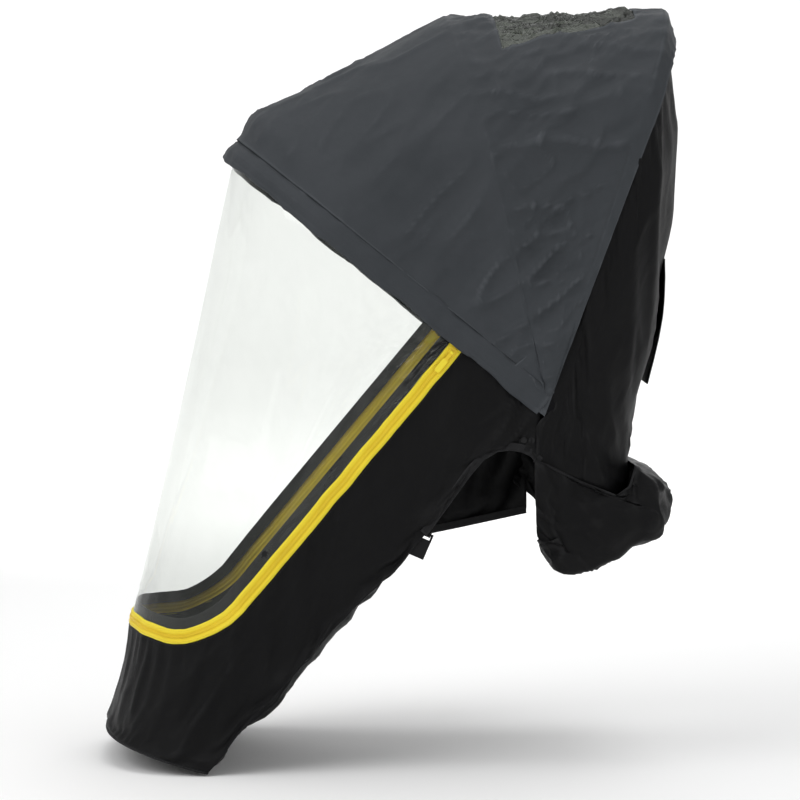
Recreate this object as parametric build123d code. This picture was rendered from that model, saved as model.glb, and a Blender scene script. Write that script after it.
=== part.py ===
"""Weather cover for a rear child bicycle seat: a folding hood on three hoops, a clear zip-in front
window, a fitted body with a foot box, and a rear pocket that slips over the seat's backrest.

Millimetres. +Z up, the child faces -Y, X = 0 is the plane of symmetry. The origin is on the base
plane below the middle of the cover's bounding box. "Left" is the child's left, at +X.
"""

from build123d import *
import os
from math import cos, radians, sin, tan

# ---------------------------------------------------------------- driving dimensions
PIVOT_Y, PIVOT_Z = 188.0, 466.0          # axis that the hoops fold about, parallel to X

FABRIC = 1.5                             # modelled thickness of a coated fabric panel
FILM = 1.0                               # modelled thickness of the clear film
GAP = 0.5                                # clearance between neighbouring soft panels

HOOD_HALF_WIDTH = 213.0                  # outside of the hood and back
BODY_HALF_WIDTH = 205.0                  # outside of the body's side panels
NOSE_DEPTH = 167.0                       # fore-aft length of the rounded front, in plan
FRONT_Y, FRONT_Z = -375.0, 35.0          # toe: the most forward point
FRONT_SLOPE = 0.2295                     # the front line leans back this much per unit of height

FRONT_ANGLE, FRONT_RADIUS = 141.0, 514.0  # angle above +Y and outside reach of each hoop's fabric
MID_ANGLE, MID_RADIUS = 103.0, 510.0
REAR_ANGLE, REAR_RADIUS = 72.0, 529.0
REAR_HOOP_ANGLE, REAR_HOOP_DROP = 72.35, 1.4   # the rear tube sits ahead of and below the fabric's ridge
HOOD_CORNER = 209.0                      # crown radius over the front and middle hoops
REAR_CORNER = 150.0                      # flatter crown over the rear hoop
SEAM_ANGLE, SEAM_RADIUS, SEAM_CORNER = 69.4, 496.0, 140.0   # where the hood meets the back

TUBE_R, TUBE_BORE = 4.0, 3.0             # hoop tube
HOOP_X = {"front": 207.0, "mid": 198.5, "rear": 190.0}      # the hoops' legs nest inside each other
PIN_R, EYE_R, EYE_THICK = 4.0, 11.0, 7.5
RUNNING = 0.05                           # radial clearance of each eye on the pin

HEM_HALF = 15.7                          # half the width of the hood's front casing
HEM_START = 30.0                         # distance of the casing's ends from the pivot
CASING_TAPER = 6.2                       # degrees: keeps the casing's feet off the back when folded

ZIP_TOP = (82.0, 551.6)                  # y, z where the zip runs in under the hood
ZIP_CORNER = (-233.0, 174.0)             # where its straight run would meet its level run
ZIP_BEND = 110.0
ZIP_HALF = 9.0                           # half the width of the zip, tapes included
STRIP_WIDTH = 14.0                       # binding on the window's edge

HEEL = (-243.0, 0.0)                     # y, z of the foot box's heel, the lowest point
CALF_PANEL_TOP = (-3.1, 262.0)           # on the line from the heel to CALF_TOP
RIGHT_HEM = [(176.0, 296.0), (36.0, 268.0)]   # the straight lower hem of the right side
LEFT_ARCH = [(176.0, 392.0), (155.0, 406.0), (134.0, 409.0), (115.0, 402.0), (92.0, 380.0), (39.0, 308.0)]
HIP_REAR_Y = 176.0                       # rear edge of the side panels
RIM_Z = 446.0                            # their top edge, below the pins
SOLE_THICK = 3.0

BACK_SECTIONS = [                        # angle, reach and corner radius of the back, downwards
    (69.2, 495.5, 140.0),
    (55.8, 313.0, 145.0),
    (46.0, 222.0, 120.0),
    (25.0, 150.0, 88.0),
    (0.0, 118.0, 72.0),
    (-25.0, 124.0, 70.0),
]
BACK_START = 14.0                        # radius of the hole round the pivot pin

REACH = 600.0                            # larger than any piece: used for cutting


# ---------------------------------------------------------------- helpers
def polar(angle, radius):
    """(y, z) at a reach and an angle about the hoops' axis."""
    return PIVOT_Y + radius * cos(radians(angle)), PIVOT_Z + radius * sin(radians(angle))


def hoop_plane(angle, offset=0.0):
    """The plane of a hoop: local x is X, local y points away from the pivot. offset moves it
    square to itself, towards the rear."""
    s, c = sin(radians(angle)), cos(radians(angle))
    return Plane(origin=(0, PIVOT_Y + offset * s, PIVOT_Z - offset * c), x_dir=(1, 0, 0), z_dir=(0, -s, c))


def arch(half_width, reach, corner, start):
    """Open U of a hoop in its own plane, from the right foot over the crown to the left foot."""
    flat = half_width - corner
    return [
        Line((half_width, start), (half_width, reach - corner)),
        CenterArc((flat, reach - corner), corner, 0, 90),
        Line((flat, reach), (-flat, reach)),
        CenterArc((-flat, reach - corner), corner, 90, 90),
        Line((-half_width, reach - corner), (-half_width, start)),
    ]


def arch_band(plane, half_width, reach, corner, start, thick):
    """The U as a flat band of the given thickness, inside the stated outline."""
    outer = arch(half_width, reach, corner, start)
    inner = arch(half_width - thick, reach - thick, corner - thick, start)
    feet = [Line((x, start), (x - thick * (1 if x > 0 else -1), start)) for x in (half_width, -half_width)]
    return plane * make_face([*outer, *inner, *feet])


def under_hoop():
    """Everything below the front hoop's tube."""
    clear = -TUBE_R - 1.5
    low, high = casing_point(-300, clear), casing_point(900, clear)
    return side_polygon(high, low, (low[0], -200), (high[0], -200))


def side_prism(edges):
    """A prism through the whole width, from edges drawn in (y, z)."""
    return extrude(Plane.YZ * make_face(edges), amount=REACH, both=True)


def side_polygon(*points):
    return side_prism([Polyline(*points, close=True)])


def body_tube(out):
    """The solid inside the body's surface, moved outwards by out. Each level section is a U with a
    rounded nose; the U leans back as it rises."""
    base_z, height = -60.0, 1000.0
    nose_y = FRONT_Y + (base_z - FRONT_Z) * FRONT_SLOPE
    w, d = BODY_HALF_WIDTH + out, NOSE_DEPTH + out
    centre = (0, nose_y + NOSE_DEPTH)
    outline = make_face([
        EllipticalCenterArc(centre, w, d, 180, arc_size=180),
        Polyline((w, centre[1]), (w, REACH), (-w, REACH), (-w, centre[1])),
    ])
    return Solid.extrude(Pos(0, 0, base_z) * outline.face(), Vector(0, height * FRONT_SLOPE, height))


def body_wall(outside, inside):
    """The body's wall between two offsets from its surface."""
    return body_tube(outside) - body_tube(inside)


def half(side):
    """The half space of one side: +1 is the child's left."""
    return Pos(side * REACH / 2, 0, PIVOT_Z) * Box(REACH, 3 * REACH, 3 * REACH)


def solids_of(shape):
    """One compound of a result's solids, so a node is written without stray faces."""
    return Compound(children=list(shape.solids()))


# ---------------------------------------------------------------- lines drawn on the side view
RUN_Y = (ZIP_TOP[0] - ZIP_CORNER[0], ZIP_TOP[1] - ZIP_CORNER[1])
RUN_LENGTH = (RUN_Y[0] ** 2 + RUN_Y[1] ** 2) ** 0.5
ZIP_DIR = (RUN_Y[0] / RUN_LENGTH, RUN_Y[1] / RUN_LENGTH)      # up the straight run
ZIP_NORMAL = (-ZIP_DIR[1], ZIP_DIR[0])                        # towards the window


def zip_line(offset, extra_top=0.0, front=-450.0):
    """The zip's side view, moved by offset towards the window."""
    top = tuple(ZIP_TOP[i] + ZIP_NORMAL[i] * offset + ZIP_DIR[i] * extra_top for i in (0, 1))
    level = ZIP_CORNER[1] + offset
    corner_y = top[0] - (top[1] - level) * ZIP_DIR[0] / ZIP_DIR[1]
    return FilletPolyline(top, (corner_y, level), (front, level), radius=ZIP_BEND - offset)


def casing_point(along, above):
    """A point on the side view, along the front hoop and above its line."""
    s, c = sin(radians(FRONT_ANGLE)), cos(radians(FRONT_ANGLE))
    return PIVOT_Y + along * c + above * s, PIVOT_Z + along * s - above * c


def sole_line(y):
    """Height of the sole's underside."""
    return HEEL[1] + (HEEL[0] - y) * (FRONT_Z - HEEL[1]) / (HEEL[0] - FRONT_Y)


def above_sole(thick):
    """Everything above the sole and ahead of the calf line."""
    return side_polygon(
        (-REACH, sole_line(-REACH) + thick), (HEEL[0] + 40, sole_line(HEEL[0] + 40) + thick),
        (REACH, -300), (REACH, 1200), (-REACH, 1200),
    )


# ---------------------------------------------------------------- hoops and their pivots
def hoop(angle, reach, corner, x):
    """A hollow tube bent to the arch, inside the fabric."""
    inset = HOOD_HALF_WIDTH - x
    plane = hoop_plane(angle)
    path = plane * Wire(arch(x, reach - FABRIC - GAP - TUBE_R, corner - inset, HEM_START))
    foot = Plane(origin=plane.from_local_coords((x, HEM_START, 0)), z_dir=plane.y_dir)
    ring = foot * (Circle(TUBE_R) - Circle(TUBE_BORE))
    return sweep(ring, path=path)


def hoop_end(angle, x, side):
    """Moulded eye at a hoop's foot, with a spigot inside the tube."""
    plane = hoop_plane(angle)
    eye = extrude(Plane.YZ * Pos(PIVOT_Y, PIVOT_Z) * Circle(EYE_R), amount=EYE_THICK / 2, both=True)
    neck = plane * Pos(0, (HEM_START + EYE_R - 3) / 2, 0) * Box(EYE_THICK, HEM_START - EYE_R + 3, 8)
    spigot_length = 22.0
    spigot = Plane(origin=plane.from_local_coords((0, HEM_START, 0)), z_dir=plane.y_dir) * Cylinder(
        TUBE_BORE - RUNNING, spigot_length, align=(Align.CENTER, Align.CENTER, Align.MIN)
    )
    bore = extrude(Plane.YZ * Pos(PIVOT_Y, PIVOT_Z) * Circle(PIN_R + RUNNING), amount=EYE_THICK, both=True)
    return Pos(side * x, 0, 0) * (eye + neck + spigot - bore)


def pivot_pin(side):
    """Pin with an outer and an inner head."""
    inner_x, outer_x, head = 178.5, 212.6, 1.5
    pin = extrude(Plane.YZ.offset(inner_x) * Pos(PIVOT_Y, PIVOT_Z) * Circle(PIN_R), amount=outer_x - inner_x)
    heads = [
        extrude(Plane.YZ.offset(x) * Pos(PIVOT_Y, PIVOT_Z) * Circle(8.5), amount=head)
        for x in (inner_x, outer_x - head)
    ]
    made = fillet((pin + heads[0] + heads[1]).edges().filter_by(GeomType.CIRCLE).sort_by(Axis.X)[-1:], 0.6)
    return made if side > 0 else mirror(made, about=Plane.YZ)


BRACKET_X = (180.1, 184.1)               # inner and outer faces of the bracket's disc
TAB_X = (200.0, 203.0)                   # its tab lies on the side panel's inner face
TAB_Y, TAB_Z = (152.0, 174.0), (410.0, 432.0)
RIVETS = [(158.0, 421.0), (168.0, 421.0)]
RIVET_R = 2.0


def hub_bracket(side):
    """Cranked plate that carries the pin and is riveted to the side panel."""
    low_z, arm_y = TAB_Z[0], (TAB_Y[0], 200.0)
    disc = extrude(Plane.YZ.offset(BRACKET_X[0]) * Pos(PIVOT_Y, PIVOT_Z) * Circle(14), amount=4)
    plate_z = PIVOT_Z - low_z
    plate = Pos((BRACKET_X[0] + BRACKET_X[1]) / 2, 188, low_z + plate_z / 2) * Box(4, 24, plate_z)
    crank_width = TAB_X[1] - BRACKET_X[0]
    crank_centre = Pos(BRACKET_X[0] + crank_width / 2, sum(arm_y) / 2, low_z + 2)
    crank = crank_centre * Box(crank_width, arm_y[1] - arm_y[0], 4)
    tab_centre = Pos(sum(TAB_X) / 2, sum(TAB_Y) / 2, sum(TAB_Z) / 2)
    tab = tab_centre * Box(3, TAB_Y[1] - TAB_Y[0], TAB_Z[1] - TAB_Z[0])
    bore = extrude(Plane.YZ * Pos(PIVOT_Y, PIVOT_Z) * Circle(PIN_R + RUNNING), amount=REACH)
    made = disc + plate + crank + tab - bore - rivet_holes(RIVET_R + RUNNING)
    return made if side > 0 else mirror(made, about=Plane.YZ)


def rivet_holes(radius):
    holes = [extrude(Plane.YZ.offset(198) * Pos(y, z) * Circle(radius), amount=12) for y, z in RIVETS]
    return holes[0] + holes[1]


def rivets():
    """Four domed rivets that hold the brackets to the side panels."""
    found = []
    for y, z in RIVETS:
        shank = extrude(Plane.YZ.offset(198.6) * Pos(y, z) * Circle(RIVET_R), amount=7.7)
        heads = [
            extrude(Plane.YZ.offset(x) * Pos(y, z) * Circle(3.8), amount=1.2) for x in (198.6, 205.1)
        ]
        made = shank + heads[0] + heads[1]
        found += [made, mirror(made, about=Plane.YZ)]
    return Compound(children=[s for m in found for s in m.solids()])


# ---------------------------------------------------------------- hood fabric
def fan(sections, start, thick, inset=0.0):
    """A panel stretched over arches about the pivot. Each section is (plane, reach, corner)."""
    bands = [
        arch_band(plane, HOOD_HALF_WIDTH - inset, reach - inset, corner - inset, start, thick)
        for plane, reach, corner in sections
    ]
    return loft(bands, ruled=True)


def hood_front_panel():
    front = (hoop_plane(FRONT_ANGLE, HEM_HALF + GAP), FRONT_RADIUS, HOOD_CORNER)
    rear = (hoop_plane(MID_ANGLE + 0.15), MID_RADIUS, HOOD_CORNER)
    return fan([front, rear], HEM_START, FABRIC)


LIGHT_HALF = 148.0                       # half the width of the roof light
LIGHT_ANGLES = (76.5, 97.5)              # its rear and front edges
LIGHT_OVERLAP = 8.0                      # seam allowance under the fabric


def roof_light_wedge(grow):
    """The wedge about the pivot that the roof light fills."""
    step = grow / 480.0 * 57.3
    a, b = LIGHT_ANGLES[0] - step, LIGHT_ANGLES[1] + step
    wedge = side_polygon((PIVOT_Y, PIVOT_Z), polar(a, 700), polar((a + b) / 2, 720), polar(b, 700))
    return wedge & (Pos(0, 0, 900) * Box(2 * (LIGHT_HALF + grow), 1500, 500))


def rear_fan(thick, inset):
    front = (hoop_plane(MID_ANGLE - 0.15), MID_RADIUS, HOOD_CORNER)
    rear = (hoop_plane(REAR_ANGLE + 0.15), REAR_RADIUS, REAR_CORNER)
    return fan([front, rear], HEM_START, thick, inset)


def hood_rear_panel():
    return rear_fan(FABRIC, 0.0) - roof_light_wedge(0.0)


def roof_light():
    return rear_fan(FILM, FABRIC + GAP) & roof_light_wedge(LIGHT_OVERLAP)


def hood_yoke():
    """Strip between the rear hoop and the seam with the back."""
    front = (hoop_plane(REAR_ANGLE), REAR_RADIUS, REAR_CORNER)
    rear = (hoop_plane(SEAM_ANGLE), SEAM_RADIUS, SEAM_CORNER)
    return fan([front, rear], HEM_START, FABRIC)


def hood_casing():
    """Casing along the hood's front edge, with the front hoop inside it."""
    band = arch_band(
        hoop_plane(FRONT_ANGLE), HOOD_HALF_WIDTH, FRONT_RADIUS, HOOD_CORNER, HEM_START, FABRIC
    )
    notch = FRONT_ANGLE - CASING_TAPER
    taper = side_polygon(
        (PIVOT_Y, PIVOT_Z), polar(notch, 145), polar(notch - 30, 260), polar(notch - 70, 260)
    )
    return extrude(band, amount=HEM_HALF, both=True) - taper


def hub_patch(side):
    """Doubled fabric sewn over the pin's head, at the tip where the hood's edges meet."""
    tip = Pos(PIVOT_Y, PIVOT_Z) * Circle(15)
    wedge = make_face([Polyline(
        casing_point(46, -13), casing_point(0, -15), (PIVOT_Y + 10, PIVOT_Z - 11),
        polar(REAR_ANGLE, 62), polar(104, 64), casing_point(50, 12), close=True,
    )])
    made = extrude(Plane.YZ.offset(HOOD_HALF_WIDTH + GAP) * (tip + wedge), amount=FABRIC)
    return made if side > 0 else mirror(made, about=Plane.YZ)


def back_panel():
    sections = [(hoop_plane(angle), reach, corner) for angle, reach, corner in BACK_SECTIONS]
    return fan(sections, BACK_START, FABRIC)


FLAP_PROFILE = [(349.0, 648.0), (347.0, 600.0), (343.0, 556.0), (336.0, 520.0), (328.0, 486.0)]
FLAP_HALF = 100.0
FLAP_THICK = 2.0


def back_flap():
    """Rain flap that hangs from its top seam over the back."""
    outer = [(y + FLAP_THICK, z) for y, z in reversed(FLAP_PROFILE)]
    face = Plane.YZ * make_face([Polyline(*FLAP_PROFILE, *outer, close=True)])
    return extrude(face, amount=FLAP_HALF, both=True)


# ---------------------------------------------------------------- body
def side_panel(side):
    """Side of the body below the zip. The left hip is cut up in an arch; the right hem is straight."""
    zip_edge = zip_line(-ZIP_HALF - GAP)
    top = casing_point(25, -HEM_HALF + 8)
    hem = LEFT_ARCH if side > 0 else RIGHT_HEM
    outline = [
        zip_edge,
        Polyline(zip_edge @ 1, (-450.0, -60.0), (HEEL[0] + 40, -60.0), HEEL, CALF_PANEL_TOP, hem[-1]),
        Polyline(*reversed(hem)),
        Polyline(hem[0], (HIP_REAR_Y, RIM_Z), (top[0], RIM_Z), top, zip_edge @ 0),
    ]
    wall = body_wall(0.0, -FABRIC) & side_prism(outline) & above_sole(SOLE_THICK + GAP) & under_hoop()
    wall -= Pos(0, -300, 200) * Box(2 * TOE_HALF + 2 * GAP, 800, 800)
    wall = wall & half(side)
    holes = rivet_holes(RIVET_R + RUNNING)
    return wall - (holes if side > 0 else mirror(holes, about=Plane.YZ))


TOE_HALF = 120.0                         # the toe panel's half width


def toe_panel():
    """Rounded front of the foot box, below the zip."""
    zip_edge = zip_line(-ZIP_HALF - GAP)
    below = side_prism([zip_edge, Polyline(zip_edge @ 1, (-450.0, -60.0), (0.0, -60.0), zip_edge @ 0)])
    front = Pos(0, -300, 200) * Box(2 * TOE_HALF, 400, 800)
    return body_wall(0.0, -FABRIC) & below & front & above_sole(SOLE_THICK + GAP)


def sole(offset, thick, grow):
    """Plate that follows the tilted underside of the foot box."""
    slab = side_polygon(
        (-REACH, sole_line(-REACH) + offset), (HEEL[0], offset),
        (HEEL[0], offset + thick), (-REACH, sole_line(-REACH) + offset + thick),
    )
    return body_tube(grow) & slab


def calf_panel():
    """Panel behind the legs, from the heel to the seat."""
    run = (CALF_PANEL_TOP[0] - HEEL[0], CALF_PANEL_TOP[1] - HEEL[1])
    length = (run[0] ** 2 + run[1] ** 2) ** 0.5
    normal = (-run[1] / length, run[0] / length)
    start = (HEEL[0] + run[0] * 0.02, HEEL[1] + run[1] * 0.02 + SOLE_THICK)
    end = CALF_PANEL_TOP
    quad = side_polygon(
        start, end,
        (end[0] + normal[0] * FABRIC, end[1] + normal[1] * FABRIC),
        (start[0] + normal[0] * FABRIC, start[1] + normal[1] * FABRIC),
    )
    return body_tube(-FABRIC - GAP) & quad


BAG_PROFILE = [
    (178.0, 452.0), (200.0, 452.0), (205.0, 453.0), (309.0, 403.5), (313.0, 384.0),
    (345.0, 366.0), (368.0, 346.0), (375.0, 326.0),
    (370.0, 305.0), (353.0, 286.0), (320.0, 264.0), (285.0, 251.0), (248.0, 246.0), (207.0, 251.0),
    (186.0, 272.0), (179.0, 330.0),
]
BAG_HALF = 209.0
BAG_SIDE_Y = 332.0                       # rear of the bag at its sides
BAG_MIDDLE_Y = 375.2                     # and in the middle
BAG_INNER = [
    (100.0, 480.0), (307.5, 480.0), (307.5, 403.5), (311.5, 383.5), (344.0, 364.0),
    (366.5, 345.0), (373.3, 326.0), (368.6, 305.7), (352.2, 287.3), (319.4, 265.6),
    (284.7, 252.6), (248.0, 247.6), (208.0, 252.7), (187.6, 272.6), (100.0, 272.6),
]


def bag_plan(half, side_y, middle_y):
    """Upright prism of the bag's plan view, whose rear bows outwards between the sides."""
    rear = ThreePointArc((half, side_y), (0, middle_y), (-half, side_y))
    front = Polyline((-half, side_y), (-half, 0), (half, 0), (half, side_y))
    return extrude(make_face([rear, front]), amount=REACH)


def rear_bag():
    """Deep pocket that takes the lower end of the seat's backrest: open in front and above."""
    outer = side_prism([Polyline(*BAG_PROFILE, close=True)])
    outer &= bag_plan(BAG_HALF, BAG_SIDE_Y, BAG_MIDDLE_Y)
    inner = side_prism([Polyline(*BAG_INNER, close=True)])
    inner &= bag_plan(BAG_HALF - FABRIC, BAG_SIDE_Y - FABRIC, BAG_MIDDLE_Y - FABRIC)
    return outer - inner


def front_window():
    """Clear film from the zip up to the front hoop, wrapped round the nose."""
    zip_edge = zip_line(ZIP_HALF + GAP, 150.0)
    outline = [zip_edge, Polyline(zip_edge @ 1, (-450.0, 900.0), (100.0, 900.0), zip_edge @ 0)]
    return body_wall(0.0, -FILM) & side_prism(outline) & under_hoop()


def zip_tape(side):
    """One side's zip, tapes and coil together, set into the wall between window and body."""
    upper, lower = zip_line(ZIP_HALF), zip_line(-ZIP_HALF)
    outline = [upper, Line(upper @ 1, lower @ 1), lower, Line(lower @ 0, upper @ 0)]
    wall = body_wall(0.6, -0.9) & side_prism(outline) & under_hoop()
    return wall & (Pos(side * (GAP / 2), 0, 0) * half(side))


def edge_strip(side):
    """Binding inside the window's zipped edge."""
    upper, lower = zip_line(ZIP_HALF + GAP + STRIP_WIDTH), zip_line(ZIP_HALF + GAP)
    outline = [upper, Line(upper @ 1, lower @ 1), lower, Line(lower @ 0, upper @ 0)]
    wall = body_wall(-FILM - GAP, -FILM - GAP - 1.0) & side_prism(outline) & under_hoop()
    return wall & (Pos(side * (GAP / 2), 0, 0) * half(side))


def hem_binding(side):
    """Elastic binding under the hip hem, just outside the panel."""
    width, out = 9.0, 1.6
    hem = LEFT_ARCH if side > 0 else RIGHT_HEM
    start = (hem[0][0] - 3, hem[0][1] + 2)
    end = (hem[-1][0] + 6, hem[-1][1] + (8 if side > 0 else 1.2))
    hem = [start, *hem[1:-1], end]
    upper = [(y - width * 0.1, z + width) for y, z in hem]
    band = side_polygon(*hem, *reversed(upper))
    wall = body_wall(GAP + out, GAP) & band
    return wall & half(side)


# ---------------------------------------------------------------- zip sliders and pulls
SLIDER_FROM_TOP = 25.0                   # along the run, from ZIP_TOP to the slider's middle
FACE_X = BODY_HALF_WIDTH + 0.6           # outer face of the zip


def slider_plane(side, along, x):
    """Local x runs down the zip, local z points out of the body."""
    origin = (side * x, ZIP_TOP[0] - ZIP_DIR[0] * along, ZIP_TOP[1] - ZIP_DIR[1] * along)
    return Plane(origin=origin, x_dir=(0, -ZIP_DIR[0], -ZIP_DIR[1]), z_dir=(side, 0, 0))


BAR_HEIGHT = 6.2                         # the pull's bar above the zip's face
BAR_R = 0.8


def zip_slider(side):
    """Slider with a bridge and a cross bar for the pull."""
    plane = slider_plane(side, SLIDER_FROM_TOP, FACE_X)
    lift = 0.3
    base = Pos(0, 0, lift + 1.2) * Box(13, 10, 2.4)
    base = fillet(base.edges().filter_by(Axis.Z), 2.0)
    posts = [Pos(0, y, lift + 4.6) * Box(5, 1.4, 4.8) for y in (-3.2, 3.2)]
    bar = Pos(0, 0, BAR_HEIGHT) * Rot(90, 0, 0) * Cylinder(BAR_R, 6.4)
    return plane * (base + posts[0] + posts[1] + bar)


def zip_pull(side):
    """Moulded pull that hangs down the zip from the slider's bar."""
    plane = slider_plane(side, SLIDER_FROM_TOP, FACE_X)
    eye = Pos(0, 0, BAR_HEIGHT) * Rot(90, 0, 0) * Cylinder(2.0, 4.4)
    tongue = Pos(15.5, 0, BAR_HEIGHT) * Box(29, 4.4, 1.8)
    grip = Pos(21, 0, BAR_HEIGHT) * fillet(Box(20, 7.5, 2.6).edges().filter_by(Axis.Z), 2.5)
    hole = Pos(0, 0, BAR_HEIGHT) * Rot(90, 0, 0) * Cylinder(BAR_R + 0.1, 10)
    return plane * (eye + tongue + grip - hole)


# ---------------------------------------------------------------- buckle halves under the seat
HANG = (-0.40, -0.9165)                  # y, z direction in which each half hangs
TAB_START = {1: (41.6, 321.0), -1: (92.0, 342.0)}
BUCKLE_X = 198.0


def buckle_plane(side):
    """Local x runs down the strap, local z points out of the body, origin at the sewn hem."""
    y, z = TAB_START[side]
    return Plane(origin=(side * BUCKLE_X, y, z), x_dir=(0, *HANG), z_dir=(side, 0, 0))


def strap_tab(side):
    """Webbing that loops through the buckle half."""
    tab = Pos(8, 0, 0) * Box(18, 15, 1.4)
    loop = Pos(19.6, 0, 0) * Rot(90, 0, 0) * (Cylinder(3.0, 15) - Cylinder(1.6, 16))
    return buckle_plane(side) * (tab + loop)


def buckle_socket():
    """Female half: a flat box with a mouth and a strap bar."""
    bar = Pos(19.6, 0, 0) * Rot(90, 0, 0) * Cylinder(1.3, 21)
    cheeks = [Pos(23, y, 0) * Box(10, 2.4, 5) for y in (-9.6, 9.6)]
    shell = Pos(39, 0, 0) * fillet(Box(25, 21.6, 8).edges().filter_by(Axis.X), 2.6)
    mouth = Pos(42, 0, 0) * Box(22, 16.5, 4.6)
    windows = [Pos(38, y, 0) * Box(9, 4, 4.6) for y in (-10, 10)]
    body = shell - mouth - windows[0] - windows[1]
    return buckle_plane(1) * (body + bar + cheeks[0] + cheeks[1])


def buckle_plug():
    """Male half: a strap bar, a guide and two sprung arms."""
    bar = Pos(19.6, 0, 0) * Rot(90, 0, 0) * Cylinder(1.3, 21)
    cheeks = [Pos(23, y, 0) * Box(10, 2.4, 5) for y in (-9.6, 9.6)]
    bridge = Pos(29, 0, 0) * Box(4, 21.6, 6)
    guide = Pos(40, 0, 0) * Box(20, 3, 3.2)
    arms = [Pos(39, y, 0) * Box(18, 2.2, 3.8) for y in (-6.4, 6.4)]
    barbs = [Pos(45, y, 0) * Box(6, 2.6, 3.8) for y in (-7.6, 7.6)]
    made = bar + cheeks[0] + cheeks[1] + bridge + guide + arms[0] + arms[1] + barbs[0] + barbs[1]
    return buckle_plane(-1) * made


# ---------------------------------------------------------------- write every node
def nodes():
    made = {
        "front_hoop": hoop(FRONT_ANGLE, FRONT_RADIUS, HOOD_CORNER, HOOP_X["front"]),
        "mid_hoop": hoop(MID_ANGLE, MID_RADIUS, HOOD_CORNER, HOOP_X["mid"]),
        "rear_hoop": hoop(REAR_HOOP_ANGLE, REAR_RADIUS - REAR_HOOP_DROP, REAR_CORNER, HOOP_X["rear"]),
        "hub_rivets": rivets(),
        "hood_casing": hood_casing(),
        "hood_front_panel": hood_front_panel(),
        "hood_rear_panel": hood_rear_panel(),
        "roof_light": roof_light(),
        "hood_yoke": hood_yoke(),
        "back_panel": back_panel(),
        "back_flap": back_flap(),
        "rear_bag": rear_bag(),
        "toe_panel": toe_panel(),
        "foot_sole": sole(0.0, SOLE_THICK, 0.0),
        "foot_board": sole(SOLE_THICK + GAP, 2.5, -FABRIC - 4.0),
        "calf_panel": calf_panel(),
        "front_window": front_window(),
        "buckle_socket": buckle_socket(),
        "buckle_plug": buckle_plug(),
    }
    for side, word in ((1, "left"), (-1, "right")):
        made[f"pivot_pin_{word}"] = pivot_pin(side)
        made[f"hub_patch_{word}"] = hub_patch(side)
        made[f"hub_bracket_{word}"] = hub_bracket(side)
        made[f"front_hoop_end_{word}"] = hoop_end(FRONT_ANGLE, HOOP_X["front"], side)
        made[f"mid_hoop_end_{word}"] = hoop_end(MID_ANGLE, HOOP_X["mid"], side)
        made[f"rear_hoop_end_{word}"] = hoop_end(REAR_HOOP_ANGLE, HOOP_X["rear"], side)
        made[f"side_panel_{word}"] = side_panel(side)
        made[f"zip_tape_{word}"] = zip_tape(side)
        made[f"window_binding_{word}"] = edge_strip(side)
        made[f"hem_binding_{word}"] = hem_binding(side)
        made[f"zip_slider_{word}"] = zip_slider(side)
        made[f"zip_pull_{word}"] = zip_pull(side)
        made[f"strap_tab_{word}"] = strap_tab(side)
    return made


os.makedirs("parts", exist_ok=True)
for name, shape in nodes().items():
    export_step(solids_of(shape), f"parts/{name}.step")
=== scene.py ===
"""Looks of the weather cover for a rear child bicycle seat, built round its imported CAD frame.

Lengths in the shape code are millimetres in the frame of the part: +Z up, the child faces -Y, the
child's left is +X. They are turned into metres where a mesh is made.
"""

from math import cos, pi, radians, sin

import bpy
import numpy as np
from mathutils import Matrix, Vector


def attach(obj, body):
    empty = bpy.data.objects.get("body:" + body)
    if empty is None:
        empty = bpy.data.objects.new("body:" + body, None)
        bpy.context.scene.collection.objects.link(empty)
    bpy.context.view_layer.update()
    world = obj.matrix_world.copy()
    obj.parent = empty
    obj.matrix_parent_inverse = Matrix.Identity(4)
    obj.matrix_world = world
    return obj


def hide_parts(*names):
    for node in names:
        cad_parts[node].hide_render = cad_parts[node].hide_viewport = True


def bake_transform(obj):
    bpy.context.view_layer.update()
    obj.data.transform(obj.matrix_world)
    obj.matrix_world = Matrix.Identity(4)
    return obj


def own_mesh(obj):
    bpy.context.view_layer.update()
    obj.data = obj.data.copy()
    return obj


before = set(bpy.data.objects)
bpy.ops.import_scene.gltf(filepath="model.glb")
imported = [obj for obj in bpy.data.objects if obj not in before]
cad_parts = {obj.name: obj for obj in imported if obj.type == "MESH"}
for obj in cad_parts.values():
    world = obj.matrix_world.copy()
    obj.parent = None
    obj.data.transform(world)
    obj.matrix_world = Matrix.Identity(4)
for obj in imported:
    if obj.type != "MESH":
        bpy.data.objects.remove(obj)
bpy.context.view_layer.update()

# ---- dimensions shared with the CAD
PIVOT = np.array([188.0, 466.0])
HALF = 213.0                                  # outside of hood and back
BODY_HALF, NOSE = 205.0, 167.0
FRONT_Y, FRONT_Z, SLOPE = -375.0, 35.0, 0.2295
FRONT, MID, REAR, SEAM = 141.0, 103.0, 72.0, 69.4
FRONT_R, MID_R, REAR_R, SEAM_R = 514.0, 510.0, 529.0, 496.0
HEM = 15.7
ZIP_TOP, ZIP_CORNER, ZIP_BEND = np.array([82.0, 551.6]), np.array([-233.0, 174.0]), 110.0
ZIP_HALF = 9.0
HEEL = np.array([-243.0, 0.0])
LEFT_ARCH = [(176.0, 392.0), (167.0, 402.0), (155.0, 407.5), (140.0, 410.0), (124.0, 407.5), (107.0, 397.5),
             (90.0, 378.0), (64.0, 342.0), (39.0, 308.0)]
RIGHT_HEM = [(176.0, 287.0), (106.0, 272.0), (36.0, 258.0)]
CALF_TOP = np.array([-8.5, 256.0])
CLOTH = 0.9                                   # thickness of the hood's and the body's cloth
MID_SHARE = 0.455882                          # the middle hoop's turn as a share of the front hoop's
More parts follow.
